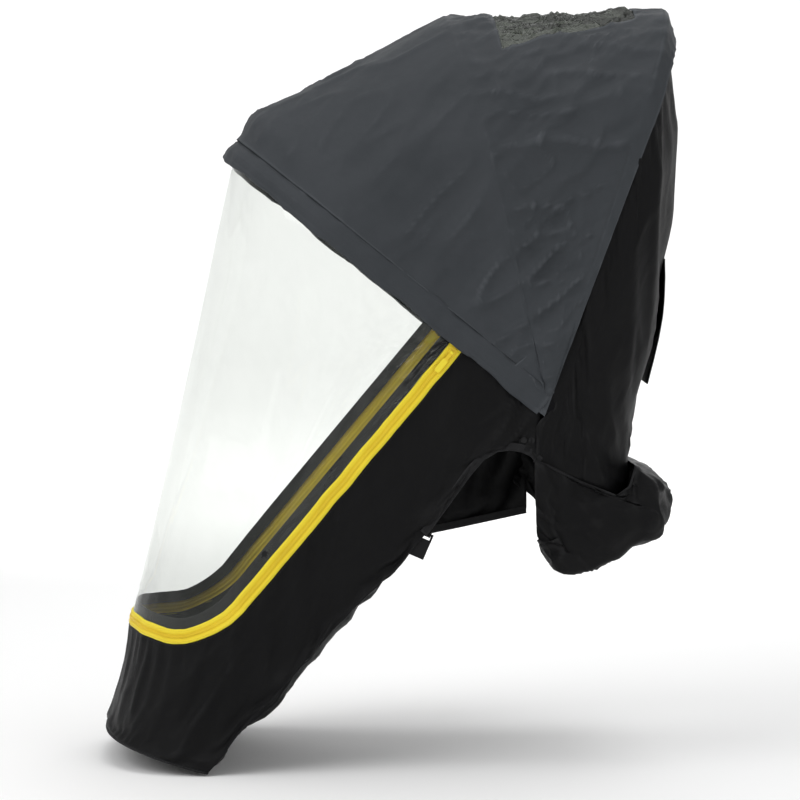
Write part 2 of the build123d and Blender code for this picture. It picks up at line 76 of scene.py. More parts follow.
BACK = [  # angle, reach and corner radius of the back's sections
    (70.9, 497.0, 141.0), (62.0, 392.0, 143.0), (55.8, 313.0, 145.0), (46.0, 222.0, 120.0),
    (34.0, 176.0, 100.0), (25.0, 150.0, 88.0), (12.0, 127.0, 78.0), (0.0, 118.0, 72.0),
    (-12.0, 118.0, 71.0), (-25.0, 124.0, 70.0),
]


# ---- noise on plain arrays
def hashed(ix, iy, seed):
    h = (ix * 374761393 + iy * 668265263 + seed * 1442695041) & 0xFFFFFFFF
    h = ((h ^ (h >> 13)) * 1274126177) & 0xFFFFFFFF
    return ((h ^ (h >> 16)) & 0xFFFF) / 32767.5 - 1.0


def noise(x, y, seed=0):
    """Smooth value noise from -1 to 1."""
    x, y = np.asarray(x, float), np.asarray(y, float)
    ix, iy = np.floor(x).astype(np.int64), np.floor(y).astype(np.int64)
    fx, fy = x - ix, y - iy
    fx, fy = fx * fx * fx * (fx * (fx * 6 - 15) + 10), fy * fy * fy * (fy * (fy * 6 - 15) + 10)
    a, b = hashed(ix, iy, seed), hashed(ix + 1, iy, seed)
    c, d = hashed(ix, iy + 1, seed), hashed(ix + 1, iy + 1, seed)
    return (a + (b - a) * fx) * (1 - fy) + (c + (d - c) * fx) * fy


def turned(u, v, angle, long_mm, wide_mm):
    """Noise coordinates stretched along a direction of the cloth."""
    c, s = cos(radians(angle)), sin(radians(angle))
    return (u * c + v * s) / long_mm, (-u * s + v * c) / wide_mm


def creases(u, v, angle, long_mm, wide_mm, seed, sharp=1.6):
    """Soft ridges that run along one direction, from 0 to 1."""
    a, b = turned(u, v, angle, long_mm, wide_mm)
    warp = 0.35 * noise(a * 0.9 + 5, b * 0.7, seed + 9)
    return (1 - np.abs(noise(a, b + warp, seed))) ** sharp


def noise3(x, y, z, seed=0):
    """Smooth value noise in space, from -1 to 1."""
    base = [np.floor(v).astype(np.int64) for v in (x, y, z)]
    part = [v - np.floor(v) for v in (x, y, z)]
    part = [f * f * f * (f * (f * 6 - 15) + 10) for f in part]
    total = 0.0
    for i in (0, 1):
        for j in (0, 1):
            for k in (0, 1):
                weight = 1.0
                for f, corner in zip(part, (i, j, k)):
                    weight = weight * (f if corner else 1 - f)
                total = total + weight * hashed(base[0] + i, base[1] + j, seed + 31 * (base[2] + k))
    return total


def grain(P, size, seed):
    return noise3(*(P[..., k] / size for k in range(3)), seed)


def creases3(P, angle, long_mm, wide_mm, seed, sharp=1.6, across=1.3):
    """Soft ridges in space along one direction of the side view, measured from +Y, from 0 to 1."""
    c, s = cos(radians(angle)), sin(radians(angle))
    a = (P[..., 1] * c + P[..., 2] * s) / long_mm
    b = (-P[..., 1] * s + P[..., 2] * c) / wide_mm
    x = P[..., 0] / (wide_mm * across)
    b = b + 0.45 * noise3(a * 1.3 + 3, b * 0.6, x * 0.6, seed + 9)
    return (1 - np.abs(noise3(a, b, x, seed))) ** sharp


def smooth(t):
    t = np.clip(t, 0, 1)
    return t * t * (3 - 2 * t)


# ---- meshes
def add(name, data):
    """A new object in the scene."""
    obj = bpy.data.objects.new(name, data)
    bpy.context.scene.collection.objects.link(obj)
    return obj


def grid_mesh(name, P, uv=None, keep=None):
    """A quad sheet from points [row, column, xyz] in millimetres. uv is in millimetres of cloth. keep
    is a mask of the quads that stay."""
    rows, cols = P.shape[:2]
    index = np.arange(rows * cols).reshape(rows, cols)
    nxt, cur = index[:, 1:], index[:, :-1]
    quads = np.stack([cur[:-1], nxt[:-1], nxt[1:], cur[1:]], axis=-1)
    if keep is not None:
        quads = quads[keep]
    quads = quads.reshape(-1, 4)
    used = np.unique(quads)
    remap = np.full(rows * cols, -1)
    remap[used] = np.arange(len(used))
    mesh = bpy.data.meshes.new(name)
    mesh.from_pydata((P.reshape(-1, 3)[used] / 1000).tolist(), [], remap[quads].tolist())
    if uv is None:
        uv = np.stack(cloth_uv(P), axis=-1)
    flat = uv.reshape(-1, 2)[quads.reshape(-1)] / 1000
    layer = mesh.uv_layers.new(name="UVMap")
    layer.data.foreach_set("uv", flat.astype(np.float32).ravel())
    mesh.polygons.foreach_set("use_smooth", [True] * len(mesh.polygons))
    mesh.update()
    obj = add(name, mesh)
    obj["kept"] = used.tolist() if keep is not None else []
    return obj


def cloth_uv(P):
    """Distances along the sheet's rows and columns, in millimetres, centred."""
    du = np.linalg.norm(np.diff(P, axis=1, prepend=P[:, :1]), axis=2).cumsum(axis=1)
    dv = np.linalg.norm(np.diff(P, axis=0, prepend=P[:1]), axis=2).cumsum(axis=0)
    return du - du[:, -1:] / 2, dv


def unit(v):
    return v / np.maximum(np.linalg.norm(v, axis=-1, keepdims=True), 1e-9)


def normals(P):
    """Unit normals of a sheet of points."""
    return unit(np.cross(np.gradient(P, axis=1), np.gradient(P, axis=0)))


def outward(P, away):
    """Unit normals of a sheet, on the side that the vectors away point to."""
    n = normals(P)
    return -n if (n * away).sum(-1).mean() < 0 else n


def wobble(at, long_mm, seed):
    """Noise along a line only."""
    return noise(at / long_mm, at * 0, seed)


def finish_piece(obj, material, body, replaced=(), thick=0.0):
    """Gives a piece its cloth thickness, the body it rides on and the nodes it replaces."""
    obj.data.materials.append(material)
    if thick:
        solid = obj.modifiers.new("Solidify", "SOLIDIFY")
        solid.thickness, solid.offset = thick / 1000, 0.0
        solid.use_even_offset = False
    if body:
        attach(obj, body)
    if replaced:
        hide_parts(*replaced)
    del obj["kept"]
    return obj


STIFFNESS = 18.0                              # of every draped sheet


def drape(obj, pinned, grow, cap, frames=22, gravity=1.0, bending=0.4):
    """Lets a sheet settle as cloth that is slightly larger than its outline, then keeps its shape.
    pinned is a weight for each vertex."""
    mesh = obj.data
    group = obj.vertex_groups.new(name="pin")
    levels = np.round(np.asarray(pinned).ravel(), 2)
    for level in np.unique(levels):
        if level > 0:
            group.add([int(i) for i in np.nonzero(levels == level)[0]], float(level), "REPLACE")
    before = np.array([v.co for v in mesh.vertices])
    cloth = obj.modifiers.new("Cloth", "CLOTH")
    s = cloth.settings
    s.quality, s.mass, s.air_damping = 5, 0.12, 3.0
    s.tension_stiffness = s.compression_stiffness = STIFFNESS
    s.shear_stiffness, s.bending_stiffness = STIFFNESS / 2, bending
    s.vertex_group_mass = "pin"
    s.pin_stiffness = 3.0
    s.shrink_min = -grow
    s.effector_weights.gravity = gravity
    cloth.point_cache.frame_start, cloth.point_cache.frame_end = 1, frames
    scene = bpy.context.scene
    for number in range(1, frames + 1):
        scene.frame_set(number)
    shaped = obj.evaluated_get(bpy.context.evaluated_depsgraph_get()).to_mesh()
    after = np.array([v.co for v in shaped.vertices])
    obj.modifiers.remove(cloth)
    obj.vertex_groups.remove(group)
    move = after - before
    far = np.linalg.norm(move, axis=1, keepdims=True)
    move *= cap / 1000 * np.tanh(far / (cap / 1000)) / np.maximum(far, 1e-9)
    mesh.vertices.foreach_set("co", (before + move).ravel())
    mesh.update()
    scene.frame_set(1)


# ---- materials
class Nodes:
    """Short names for building a node tree."""

    def __init__(self, name):
        self.material = bpy.data.materials.new(name)
        self.material.use_nodes = True
        self.tree = self.material.node_tree
        self.tree.nodes.clear()
        self.out = self.tree.nodes.new("ShaderNodeOutputMaterial")

    def feed(self, socket, value):
        if isinstance(value, bpy.types.NodeSocket):
            self.tree.links.new(value, socket)
        else:
            socket.default_value = value

    def node(self, kind, settings=None, **inputs):
        made = self.tree.nodes.new("ShaderNode" + kind)
        for key, value in (settings or {}).items():
            setattr(made, key, value)
        for key, value in inputs.items():
            numbered = key[0] == "i" and key[1:].isdigit()
            self.feed(made.inputs[int(key[1:]) if numbered else key.replace("_", " ")], value)
        return made

    def math(self, operation, a, b=0.0, clamp=False):
        return self.node("Math", {"operation": operation, "use_clamp": clamp}, i0=a, i1=b).outputs[0]

    def mix(self, factor, a, b):
        made = self.node("Mix", {"data_type": "RGBA"})
        for key, kind, value in (("Factor", "VALUE", factor), ("A", "RGBA", a), ("B", "RGBA", b)):
            self.feed(next(s for s in made.inputs if s.name == key and s.type == kind), value)
        return next(s for s in made.outputs if s.type == "RGBA")

    def ramp(self, value, low, high):
        return self.node("MapRange", {"clamp": True}, i0=value, i1=low, i2=high, i3=0.0, i4=1.0).outputs[0]

    def noise(self, vector, scale, detail=3.0, rough=0.55):
        return self.node("TexNoise", Vector=vector, Scale=scale, Detail=detail, Roughness=rough).outputs[0]

    def done(self, shader):
        self.tree.links.new(shader, self.out.inputs["Surface"])
        return self.material


def rgba(r, g, b):
    return (r, g, b, 1.0)


def fabric(name, colour, light, thread_mm=0.55, rough=0.62, sheen=0.25, crumple=0.35, weave=0.5, spec=0.35):
    """Woven, coated cloth: plain weave with painted shade in its gaps, fine crumple, cloudy colour, and paler
    ridges that are partly wear and partly a painted highlight.
    """
    n = Nodes(name)
    uv = n.node("TexCoord").outputs["UV"]
    bands = {"wave_type": "BANDS", "wave_profile": "SIN"}
    pitch = 2 * pi / (20 * thread_mm / 1000)
    warp, weft = (
        n.node("TexWave", {**bands, "bands_direction": axis}, Vector=uv, Scale=pitch,
               Distortion=0.0).outputs[1]
        for axis in "XY"
    )
    threads = n.math("MAXIMUM", warp, weft)
    cloud = n.noise(uv, 9.0, 5.0, 0.6)
    fine = n.noise(uv, 160.0, 4.0, 0.6)
    folds = n.noise(uv, 42.0, 3.0, 0.5)
    # paler where the cloth is pointy: partly rubbed wear, partly a painted highlight on the fold ridges
    paler_edges = n.ramp(n.node("NewGeometry").outputs["Pointiness"], 0.515, 0.56)
    tone = n.mix(n.ramp(cloud, 0.3, 0.72), rgba(*colour), rgba(*light))
    # darker between the threads: painted shade in the weave's gaps
    gap_shade = n.math("MULTIPLY", n.math("SUBTRACT", 1.0, threads), 0.35)
    tone = n.mix(gap_shade, tone, rgba(*[c * 0.55 for c in colour]))
    tone = n.mix(n.math("MULTIPLY", paler_edges, 0.4), tone, rgba(*[min(1.0, c * 1.7 + 0.01) for c in light]))
    height = n.math("ADD", n.math("MULTIPLY", threads, 0.12 * weave), n.math("MULTIPLY", fine, 0.10))
    height = n.math("ADD", height, n.math("MULTIPLY", folds, crumple))
    bump = n.node("Bump", Strength=0.55, Distance=0.0016, Height=height).outputs[0]
    roughness = n.math("ADD", rough - 0.06, n.math("MULTIPLY", fine, 0.16))
    shader = n.node("BsdfPrincipled", Base_Color=tone, Roughness=roughness, Normal=bump)
    shader.inputs["Sheen Weight"].default_value = sheen
    shader.inputs["Sheen Roughness"].default_value = 0.45
    shader.inputs["Specular IOR Level"].default_value = spec
    return n.done(shader.outputs[0])


def film(name, haze, crinkle, crinkle_scale, gloss=0.07, tint=(0.96, 0.97, 0.96), graze=0.5):
    """Clear flexible film: slightly green, hazy, with a glossy crinkled skin."""
    n = Nodes(name)
    uv = n.node("TexCoord").outputs["UV"]
    stretched = n.node("Mapping", Vector=uv, Scale=(1.0, 0.22, 1.0)).outputs[0]
    streak = n.noise(stretched, crinkle_scale, 3.0, 0.5)
    crease = n.noise(uv, crinkle_scale * 0.8, 4.0, 0.62)
    sharp = n.math("ABSOLUTE", n.math("SUBTRACT", crease, 0.5))
    height = n.math("ADD", n.math("MULTIPLY", streak, 0.5), n.math("MULTIPLY", sharp, 1.1))
    bump = n.node("Bump", Strength=crinkle, Distance=0.004, Height=height).outputs[0]
    facing = n.node("LayerWeight", Blend=0.5, Normal=bump).outputs["Facing"]
    reflect = n.math("ADD", 0.030, n.math("MULTIPLY", n.math("POWER", facing, 4.0), graze), True)
    clear = n.node("BsdfTransparent", Color=rgba(*tint)).outputs[0]
    milky = n.node("BsdfPrincipled", Base_Color=rgba(0.52, 0.56, 0.50), Roughness=0.5, Normal=bump).outputs[0]
    amount = n.math("ADD", haze, n.math("MULTIPLY", n.ramp(sharp, 0.10, 0.0), haze * 0.6))
    body = n.node("MixShader", i0=amount, i1=clear, i2=milky).outputs[0]
    glossy = n.node("BsdfGlossy", Color=rgba(0.95, 0.96, 0.95), Roughness=gloss, Normal=bump).outputs[0]
    return n.done(n.node("MixShader", i0=reflect, i1=body, i2=glossy).outputs[0])


def plastic(name, colour, rough, grain=900.0, metallic=0.0, strength=0.25, scratch=0.12, spec=0.4):
    """Moulded plastic or lacquered metal with fine grain, mottled gloss and rubbed edges."""
    n = Nodes(name)
    at = n.node("TexCoord").outputs["Object"]
    fine = n.noise(at, grain, 3.0, 0.6)
    cloud = n.noise(at, 60.0, 4.0, 0.6)
    paler_edges = n.ramp(n.node("NewGeometry").outputs["Pointiness"], 0.53, 0.62)
    tone = n.mix(n.math("MULTIPLY", cloud, 0.5), rgba(*colour), rgba(*[c * 0.7 for c in colour]))
    tone = n.mix(n.math("MULTIPLY", paler_edges, 0.35), tone, rgba(*[min(1, c * 1.8 + 0.02) for c in colour]))
    bump = n.node("Bump", Strength=strength, Distance=0.0003, Height=fine).outputs[0]
    roughness = n.math("ADD", rough - scratch / 2, n.math("MULTIPLY", cloud, scratch))
    shader = n.node("BsdfPrincipled", Base_Color=tone, Roughness=roughness, Normal=bump)
    shader.inputs["Metallic"].default_value = metallic
    shader.inputs["Specular IOR Level"].default_value = spec
    return n.done(shader.outputs[0])


HOOD_CLOTH = fabric("hood_cloth", (0.038, 0.0425, 0.0475), (0.047, 0.0515, 0.0575), crumple=0.7,
                    sheen=0.0, spec=0.14)
BLACK_CLOTH = fabric("black_cloth", (0.0032, 0.0032, 0.0036), (0.0052, 0.0052, 0.0056), rough=0.46,
                     sheen=0.0, crumple=0.8, spec=0.11)
SOLE_CLOTH = fabric("sole_cloth", (0.008, 0.008, 0.008), (0.013, 0.013, 0.013), 0.9, 0.7, 0.0, 0.2, 1.2, 0.15)
BINDING = fabric("binding_tape", (0.008, 0.008, 0.009), (0.014, 0.014, 0.015), 0.7, 0.7, 0.02, 0.2, 1.4, 0.2)
WEBBING = fabric("webbing", (0.005, 0.005, 0.005), (0.008, 0.008, 0.008), 1.1, 0.7, 0.0, 0.1, 2.2, 0.12)
ZIP_CLOTH = fabric("zip_cloth", (0.84, 0.61, 0.022), (0.90, 0.68, 0.035), 0.6, 0.55, 0.0, 0.25, 1.2, 0.25)
ZIP_COIL = plastic("zip_coil", (0.84, 0.61, 0.03), 0.4)
THREAD_GREY = plastic("thread_grey", (0.022, 0.025, 0.028), 0.7)
THREAD_BLACK = plastic("thread_black", (0.006, 0.006, 0.007), 0.65)
WINDOW_FILM = film("window_film", 0.022, 0.14, 16.0, tint=(0.902, 0.914, 0.898))
# the roof light's film is clear; its dark grey tint is painted shade, standing in for the hood's dark inside
# seen through crumpled layers of film
ROOF_FILM = film("roof_film", 0.035, 0.7, 60.0, 0.06, tint=(0.205, 0.218, 0.197), graze=0.10)
TUBE_METAL = plastic("hoop_tube", (0.32, 0.32, 0.33), 0.35, 1500.0, 1.0)
MOULDED = plastic("moulded_black", (0.003, 0.003, 0.0034), 0.6, spec=0.12)
BOARD = plastic("board", (0.02, 0.02, 0.02), 0.6, 500.0)
SLIDER = plastic("slider_lacquer", (0.80, 0.57, 0.02), 0.3, 1200.0, 0.0)
PULL = plastic("pull_rubber", (0.80, 0.57, 0.02), 0.6, 700.0)
STEEL = plastic("pin_steel", (0.010, 0.010, 0.011), 0.45, 1500.0, 1.0)
RIVET_BLACK = plastic("rivet_dark", (0.006, 0.006, 0.0065), 0.55, spec=0.12)


# ---- shape of the hood and the back
LEG, ARC, TOP = 40, 26, 9                     # points of a hoop section's leg, corner and half crown
CORNER, REAR_CORNER, FOOT = 209, 150, 4       # corner radii, and the sections' distance from the pivot


def arch(half, reach, corner, start):
    """Points of a hoop section, [n, (x, r)], from the left foot over the crown to the right foot."""
    a = np.radians(np.linspace(0, 90, ARC, endpoint=False))
    leg = np.stack([np.full(LEG, half), np.linspace(start, reach - corner, LEG, endpoint=False)], 1)
    arc = np.stack([half - corner + corner * np.cos(a), reach - corner + corner * np.sin(a)], 1)
    top = np.stack([np.linspace(half - corner, 0, TOP), np.full(TOP, reach)], 1)
    left = np.concatenate([leg, arc, top])
    return np.concatenate([left, (left * [-1, 1])[-2::-1]])


def place(section, angle, offset=0.0):
    """A section in the plane at an angle about the pivot, moved square to it."""
    c, s = cos(radians(angle)), sin(radians(angle))
    x, r = section[:, 0], section[:, 1]
    return np.stack([x, PIVOT[0] + r * c + offset * s, PIVOT[1] + r * s - offset * c], 1)


def crown_share(section):
    """1 over the crown, 0 on the straight legs, for each point of a section."""
    share = np.zeros(len(section))
    n = ARC + TOP - 1
    rise = smooth(np.arange(1, n + 1) / (ARC * 0.8))
    share[LEG:LEG + n] = rise
    far = slice(LEG + n - 1, LEG + 2 * n - 1)
    share[far] = np.maximum(share[far], rise[::-1])
    return share


def loft(a, b, rows):
    t = np.linspace(0, 1, rows)[:, None, None]
    return a[None] * (1 - t) + b[None] * t


def joined(left, right):
    """One line from the left's rear round the middle, and on along the mirrored right."""
    return np.concatenate([left[::-1], (right * [-1, 1, 1])[1:]])


def radial(P):
    """Unit vectors away from the pivot axis, for each point."""
    d = P.copy()
    d[..., 0] = 0
    d[..., 1] -= PIVOT[0]
    d[..., 2] -= PIVOT[1]
    return unit(d)


FRONT_EDGE = place(arch(HALF, FRONT_R, CORNER, FOOT), FRONT, HEM)
MID_EDGE = place(arch(HALF, MID_R, CORNER, FOOT), MID)
REAR_EDGE = place(arch(HALF, REAR_R, REAR_CORNER, FOOT), REAR)
SEAM_EDGE = place(arch(HALF, SEAM_R, 140, FOOT), SEAM)
CROWN = crown_share(FRONT_EDGE)
N_FRONT, N_REAR, N_YOKE = 76, 62, 9           # rows of the hood between its hoops and its rear seam


def hood_points():
    """The hood's cloth from the casing's seam back to the seam with the black back, with each point's
    share of the front hoop's turn."""
    front = loft(FRONT_EDGE, MID_EDGE, N_FRONT)
    t = np.linspace(0, 1, N_FRONT)[:, None]
    lift = np.where(t < 0.13, smooth(t / 0.13), (1 - t) / 0.87) * 17.0 + 0.8
    lift = lift * CROWN[None]
    front = front + radial(front) * lift[..., None]
    rear = loft(MID_EDGE, REAR_EDGE, N_REAR)
    t2 = np.linspace(0, 1, N_REAR)[:, None]
    rear = rear - radial(rear) * (np.sin(pi * t2) * CROWN[None] * 4.0)[..., None]
    yoke = loft(REAR_EDGE, SEAM_EDGE, N_YOKE)
    P = np.concatenate([front, rear[1:], yoke[1:]])
    share = np.concatenate([
        1 - np.linspace(0, 1, N_FRONT) * (1 - MID_SHARE),
        MID_SHARE * (1 - np.linspace(0, 1, N_REAR)[1:]), np.zeros(N_YOKE - 1),
    ])
    return P, np.repeat(share[:, None], P.shape[1], 1)


def held_by_hoops(rows, cols):
    """0 on the hoops and seams, 1 half way between them."""
    m = N_FRONT - 1
    t = np.arange(rows)
    free = np.where(t <= m, np.sin(pi * np.clip(t / m, 0, 1)), 0)
    r = N_REAR - 1
    free = np.where((t > m) & (t <= m + r), np.sin(pi * np.clip((t - m) / r, 0, 1)), free)
    return np.sqrt(np.clip(free, 0, 1))[:, None] * np.ones((1, cols))


def rounded(P, amount):
    """Softens a sheet's lengthwise corners by blending each point with its neighbours."""
    Q = P.copy()
    for _ in range(amount):
        Q[1:-1] = 0.25 * Q[:-2] + 0.5 * Q[1:-1] + 0.25 * Q[2:]
    return Q


def hood_wrinkles(P):
    """Seams, puckers and creases of the hood, and its slight sag between the hoops."""
    u, v = cloth_uv(P)
    free = held_by_hoops(*P.shape[:2])
    m = N_FRONT - 1
    row = np.arange(len(P))[:, None]
    rear = smooth((row - m + 4) / 6.0)
    low = smooth((760 - P[..., 2]) / 160)
    d = 7.0 * (creases3(P, 48, 210, 62, 3, 1.2) - 0.5)
    d = d + rear * (6.5 * (creases3(P, 2, 95, 24, 11, 3.4) - 0.3)
                    + 4.6 * (creases3(P, 38, 60, 16, 13, 3.6) - 0.3))
    d = d + (1 - rear) * 4.6 * (creases3(P, 52, 150, 30, 17, 2.8) - 0.35)
    d = d + low * 7.0 * (creases3(P, 36, 130, 24, 19, 3.0) - 0.3)
    d = d * (0.30 + 0.70 * free) + 0.5 * grain(P, 9, 5)
    seam = np.exp(-((row - m) / 0.6) ** 2)
    pucker = np.sin(u / 7.0 + 2 * wobble(u, 30, 8)) * np.exp(-(np.abs(row - m) / 2.2))
    d += 0.6 * pucker - 1.0 * seam
    d = np.maximum(d, -0.8 - 7.0 * free)      # stays outside the hoops' tubes
    reach = np.hypot(P[..., 1] - PIVOT[0], P[..., 2] - PIVOT[1])
    sag = 6.0 * free * smooth((np.abs(P[..., 0]) - 150) / 60) * smooth((reach - 70) / 160)
    return P + normals(P) * (d - sag)[..., None]


EDGE_COLS, LIGHT_COLS = 92, 56                # hood columns beside and across the roof light
LIGHT_ROWS = (12, 52)                         # rows behind the middle hoop
LIGHT_HALF = (142.0, 112.0)                   # its half width in front and behind


def respaced(P):
    """The hood's rows with their points moved along so that two columns follow the light's edges."""
    rows = []
    for i, row in enumerate(P):
        along = (i - (N_FRONT - 1) - LIGHT_ROWS[0]) / (LIGHT_ROWS[1] - LIGHT_ROWS[0])
        half = np.interp(along, [0, 1], LIGHT_HALF)
        s = np.concatenate([[0], np.linalg.norm(np.diff(row, axis=0), axis=1).cumsum()])
        n = len(row) // 2
        edge = np.interp(-half, -row[:n, 0], s[:n])
        at = np.concatenate([
            np.linspace(0, edge, EDGE_COLS, endpoint=False),
            np.linspace(edge, s[-1] - edge, LIGHT_COLS, endpoint=False),
            np.linspace(s[-1] - edge, s[-1], EDGE_COLS + 1),
        ])
        rows.append(np.stack([np.interp(at, s, row[:, k]) for k in range(3)], 1))
    return np.array(rows)


def build_hood():
    """Hood cloth as one sheet with the roof light let into its crown."""
    P, share = hood_points()
    P = respaced(rounded(P, 1))
    share = np.repeat(share[:, :1], P.shape[1], 1)
    facing_out = (normals(P) * radial(P)).sum(-1).mean() > 0
    Q = hood_wrinkles(P) if facing_out else hood_wrinkles(P[:, ::-1])[:, ::-1]
    row = np.arange(len(P) - 1)[:, None] - (N_FRONT - 1)
    col = np.arange(P.shape[1] - 1)[None]
    hole = (row >= LIGHT_ROWS[0]) & (row < LIGHT_ROWS[1])
    hole = hole & (col >= EDGE_COLS) & (col < EDGE_COLS + LIGHT_COLS)
    cloth = grid_mesh("hood_cloth", Q, keep=~hole)
    replaced = ("hood_front_panel", "hood_rear_panel", "hood_yoke")
    finish_piece(cloth, HOOD_CLOTH, None, replaced, thick=CLOTH)
    blend_by(cloth)
    declare(Q)
    first = N_FRONT - 1 + LIGHT_ROWS[0]
    rows = slice(first - 1, N_FRONT - 1 + LIGHT_ROWS[1] + 2)
    cols = slice(EDGE_COLS - 1, EDGE_COLS + LIGHT_COLS + 2)
    size = (110, 150)                         # rows and columns of the film
    fine = resample(Q[rows, cols], *size)
    du, dv = np.linspace(-1, 1, size[1])[None, :], np.linspace(-1, 1, size[0])[:, None]
    inside = smooth((1 - np.abs(du)) / 0.10) * smooth((1 - np.abs(dv)) / 0.14)
    flat = fine * [1.0, 1.0, 0.0]
    crumple = 4.6 * (creases3(flat, 78, 34, 12, 41, 2.4, 0.9) - 0.35)
    crumple += 4.0 * (creases3(flat, 10, 26, 10, 47, 2.4, 0.9) - 0.35)
    crumple += 5.0 * noise3(fine[..., 0] / 34, fine[..., 1] / 30, fine[..., 2] * 0, 49)
    shift = -1.6 + inside * (crumple * 0.85 - 1.5)
    roof = grid_mesh("roof_light_film", fine + radial(fine) * shift[..., None])
    finish_piece(roof, ROOF_FILM, None, ("roof_light",))
    blend_by(roof)
    declare(fine)


def flat_size(P):
    """Largest length along the rows and columns of a sheet, and its area, in metres."""
    du = np.linalg.norm(np.diff(P, axis=1), axis=2)
    dv = np.linalg.norm(np.diff(P, axis=0), axis=2)
    a, b = P[1:, 1:] - P[:-1, :-1], P[1:, :-1] - P[:-1, 1:]
    area = 0.5 * np.linalg.norm(np.cross(a, b), axis=2).sum() / 1e6
    return du.sum(axis=1).max() / 1000, dv.sum(axis=0).max() / 1000, area


def declare(P):
    """Works out a sheet's flat size and area from its points before they were wrinkled; nothing is kept."""
    wide, long, area = flat_size(P)
    if area < 0.31 * wide * long:
        wide, long = (np.ptp(P[..., k]) / 1000 for k in (1, 2))
    flat = (round(wide, 3), round(long, 3))
    area = min(round(area, 4), flat[0] * flat[1])


def sheet(name, P, material, body, replaced=(), thick=0.0, flat=None, uv=None,
          settle=None):
    """Makes a cloth piece. flat is the sheet before it was wrinkled. settle is the pins and the
    settings of its draping."""
    obj = grid_mesh(name, P, uv)
    if settle:
        drape(obj, settle[0], **settle[1])
    finish_piece(obj, material, body, replaced, thick)
    declare(P if flat is None else flat)
    return obj


def pinned_rim(P, rows, cols):
    """Pins for drape: 0 inside the given slices of a sheet, 1 round them."""
    pins = np.ones(P.shape[:2])
    pins[rows, cols] = 0.0
    return pins


def resample(P, rows, cols):
    """A sheet of points taken again at other row and column counts."""
    r = np.linspace(0, P.shape[0] - 1, rows)
    c = np.linspace(0, P.shape[1] - 1, cols)
    r0, c0 = np.minimum(r.astype(int), P.shape[0] - 2), np.minimum(c.astype(int), P.shape[1] - 2)
    fr, fc = (r - r0)[:, None, None], (c - c0)[None, :, None]
    a = P[r0][:, c0] * (1 - fc) + P[r0][:, c0 + 1] * fc
    b = P[r0 + 1][:, c0] * (1 - fc) + P[r0 + 1][:, c0 + 1] * fc
    return a * (1 - fr) + b * fr


def blend_by(obj):
    """Bakes a piece's transform into its mesh."""
    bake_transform(obj)


def build_casing():
    """Front casing: the cloth turned round the hoop, with a rolled lower edge."""
    rows = []
    profile = [(-6.5, -HEM + 1.2), (-1.4, -HEM + 0.2), (-0.2, -HEM), (1.0, -HEM + 1.4), (1.5, -12.0),
               (1.3, -9.0), (2.2, -5.0), (2.8, 0.0), (2.2, 5.0), (1.2, 9.5), (0.7, 12.5), (-0.4, HEM - 1.0),
               (-0.9, HEM), (-2.4, HEM + 1.5)]
    for out, along in profile:
        section = arch(HALF + out - 0.6, FRONT_R + out - 0.6, CORNER, FOOT)
        rows.append(place(section, FRONT, along))
    P = resample(np.array(rows), 40, 230)
    u, v = cloth_uv(P)
    wave = 1.8 * noise(u / 55, v * 0 + 3, 21) + 0.9 * noise(u / 21, v / 20, 22)
    wave += 3.0 * (creases3(P, 35, 60, 20, 25, 3.0) - 0.3)
    n = outward(P, radial(P))
    c, s = cos(radians(FRONT)), sin(radians(FRONT))
    across = np.array([0.0, s, -c])
    low = smooth(1 - np.linspace(0, 1, 40)[:, None] / 0.6)
    P = P + n * (0.5 * wave)[..., None] + across[None, None] * (low * 2.6 * wobble(u, 60, 29))[..., None]
    sheet("hood_casing_cloth", P, HOOD_CLOTH, "front_hoop", ("hood_casing",), CLOTH)


def build_back():
    """The black back, from the hood's seam down into the rear pouch."""
    sections = [place(arch(HALF, r, c, 6), a) for a, r, c in BACK]
    ends = [np.array(polar(a, r)) for a, r, _ in BACK]
    rows = [loft(sections[i], sections[i + 1], max(4, int(np.linalg.norm(ends[i] - ends[i + 1]) / 8)))
            for i in range(len(sections) - 1)]
    P = np.concatenate([rows[0]] + [r[1:] for r in rows[1:]])
    P = rounded(P, 3)
    last = P[-1]
    skirt = []
    for t in np.linspace(0, 1, 11)[1:]:
        row = last.copy()
        row[:, 0] *= 1 - 0.036 * smooth(t * 1.3)
        row[:, 1] -= (21 * np.exp(-(last[:, 1] - 193) / 16) * smooth(t / 0.3)
                      + 5 * t * smooth((last[:, 1] - 240) / 60))
        row[:, 2] -= t * (last[:, 2] - (384 - (last[:, 1] - 186) * 0.36))
        skirt.append(row)
    P = np.concatenate([P, skirt])
    flat = P.copy()
    v = np.linspace(0, 1, len(P))[:, None]
    edge = smooth(v / 0.06) * smooth((1 - v) / 0.04)
    low = smooth((470 - P[..., 2]) / 60)
    d = 6.0 * (creases3(P, 84, 260, 40, 61, 1.5) - 0.5) + 3.4 * (creases3(P, 62, 120, 26, 67, 1.7) - 0.5)
    d = d + low * (7.0 * (creases3(P, 78, 120, 20, 69, 1.7) - 0.5)) + 0.4 * grain(P, 10, 3)
    n = outward(P, radial(P))
    P = P + n * (d * edge * 0.7 - 2.0)[..., None]
    pins = pinned_rim(P, slice(4, -3), slice(14, -14))
    settings = {"grow": 0.012, "cap": 5, "frames": 16, "gravity": 0.6, "bending": 0.6}
    sheet("back_cloth", P, BLACK_CLOTH, "cover", ("back_panel",), CLOTH, flat,
          settle=(pins, settings))


def polar(angle, radius):
    return PIVOT[0] + radius * cos(radians(angle)), PIVOT[1] + radius * sin(radians(angle))


# ---- shape of the body
def front_y(z):
    return FRONT_Y + (z - FRONT_Z) * SLOPE


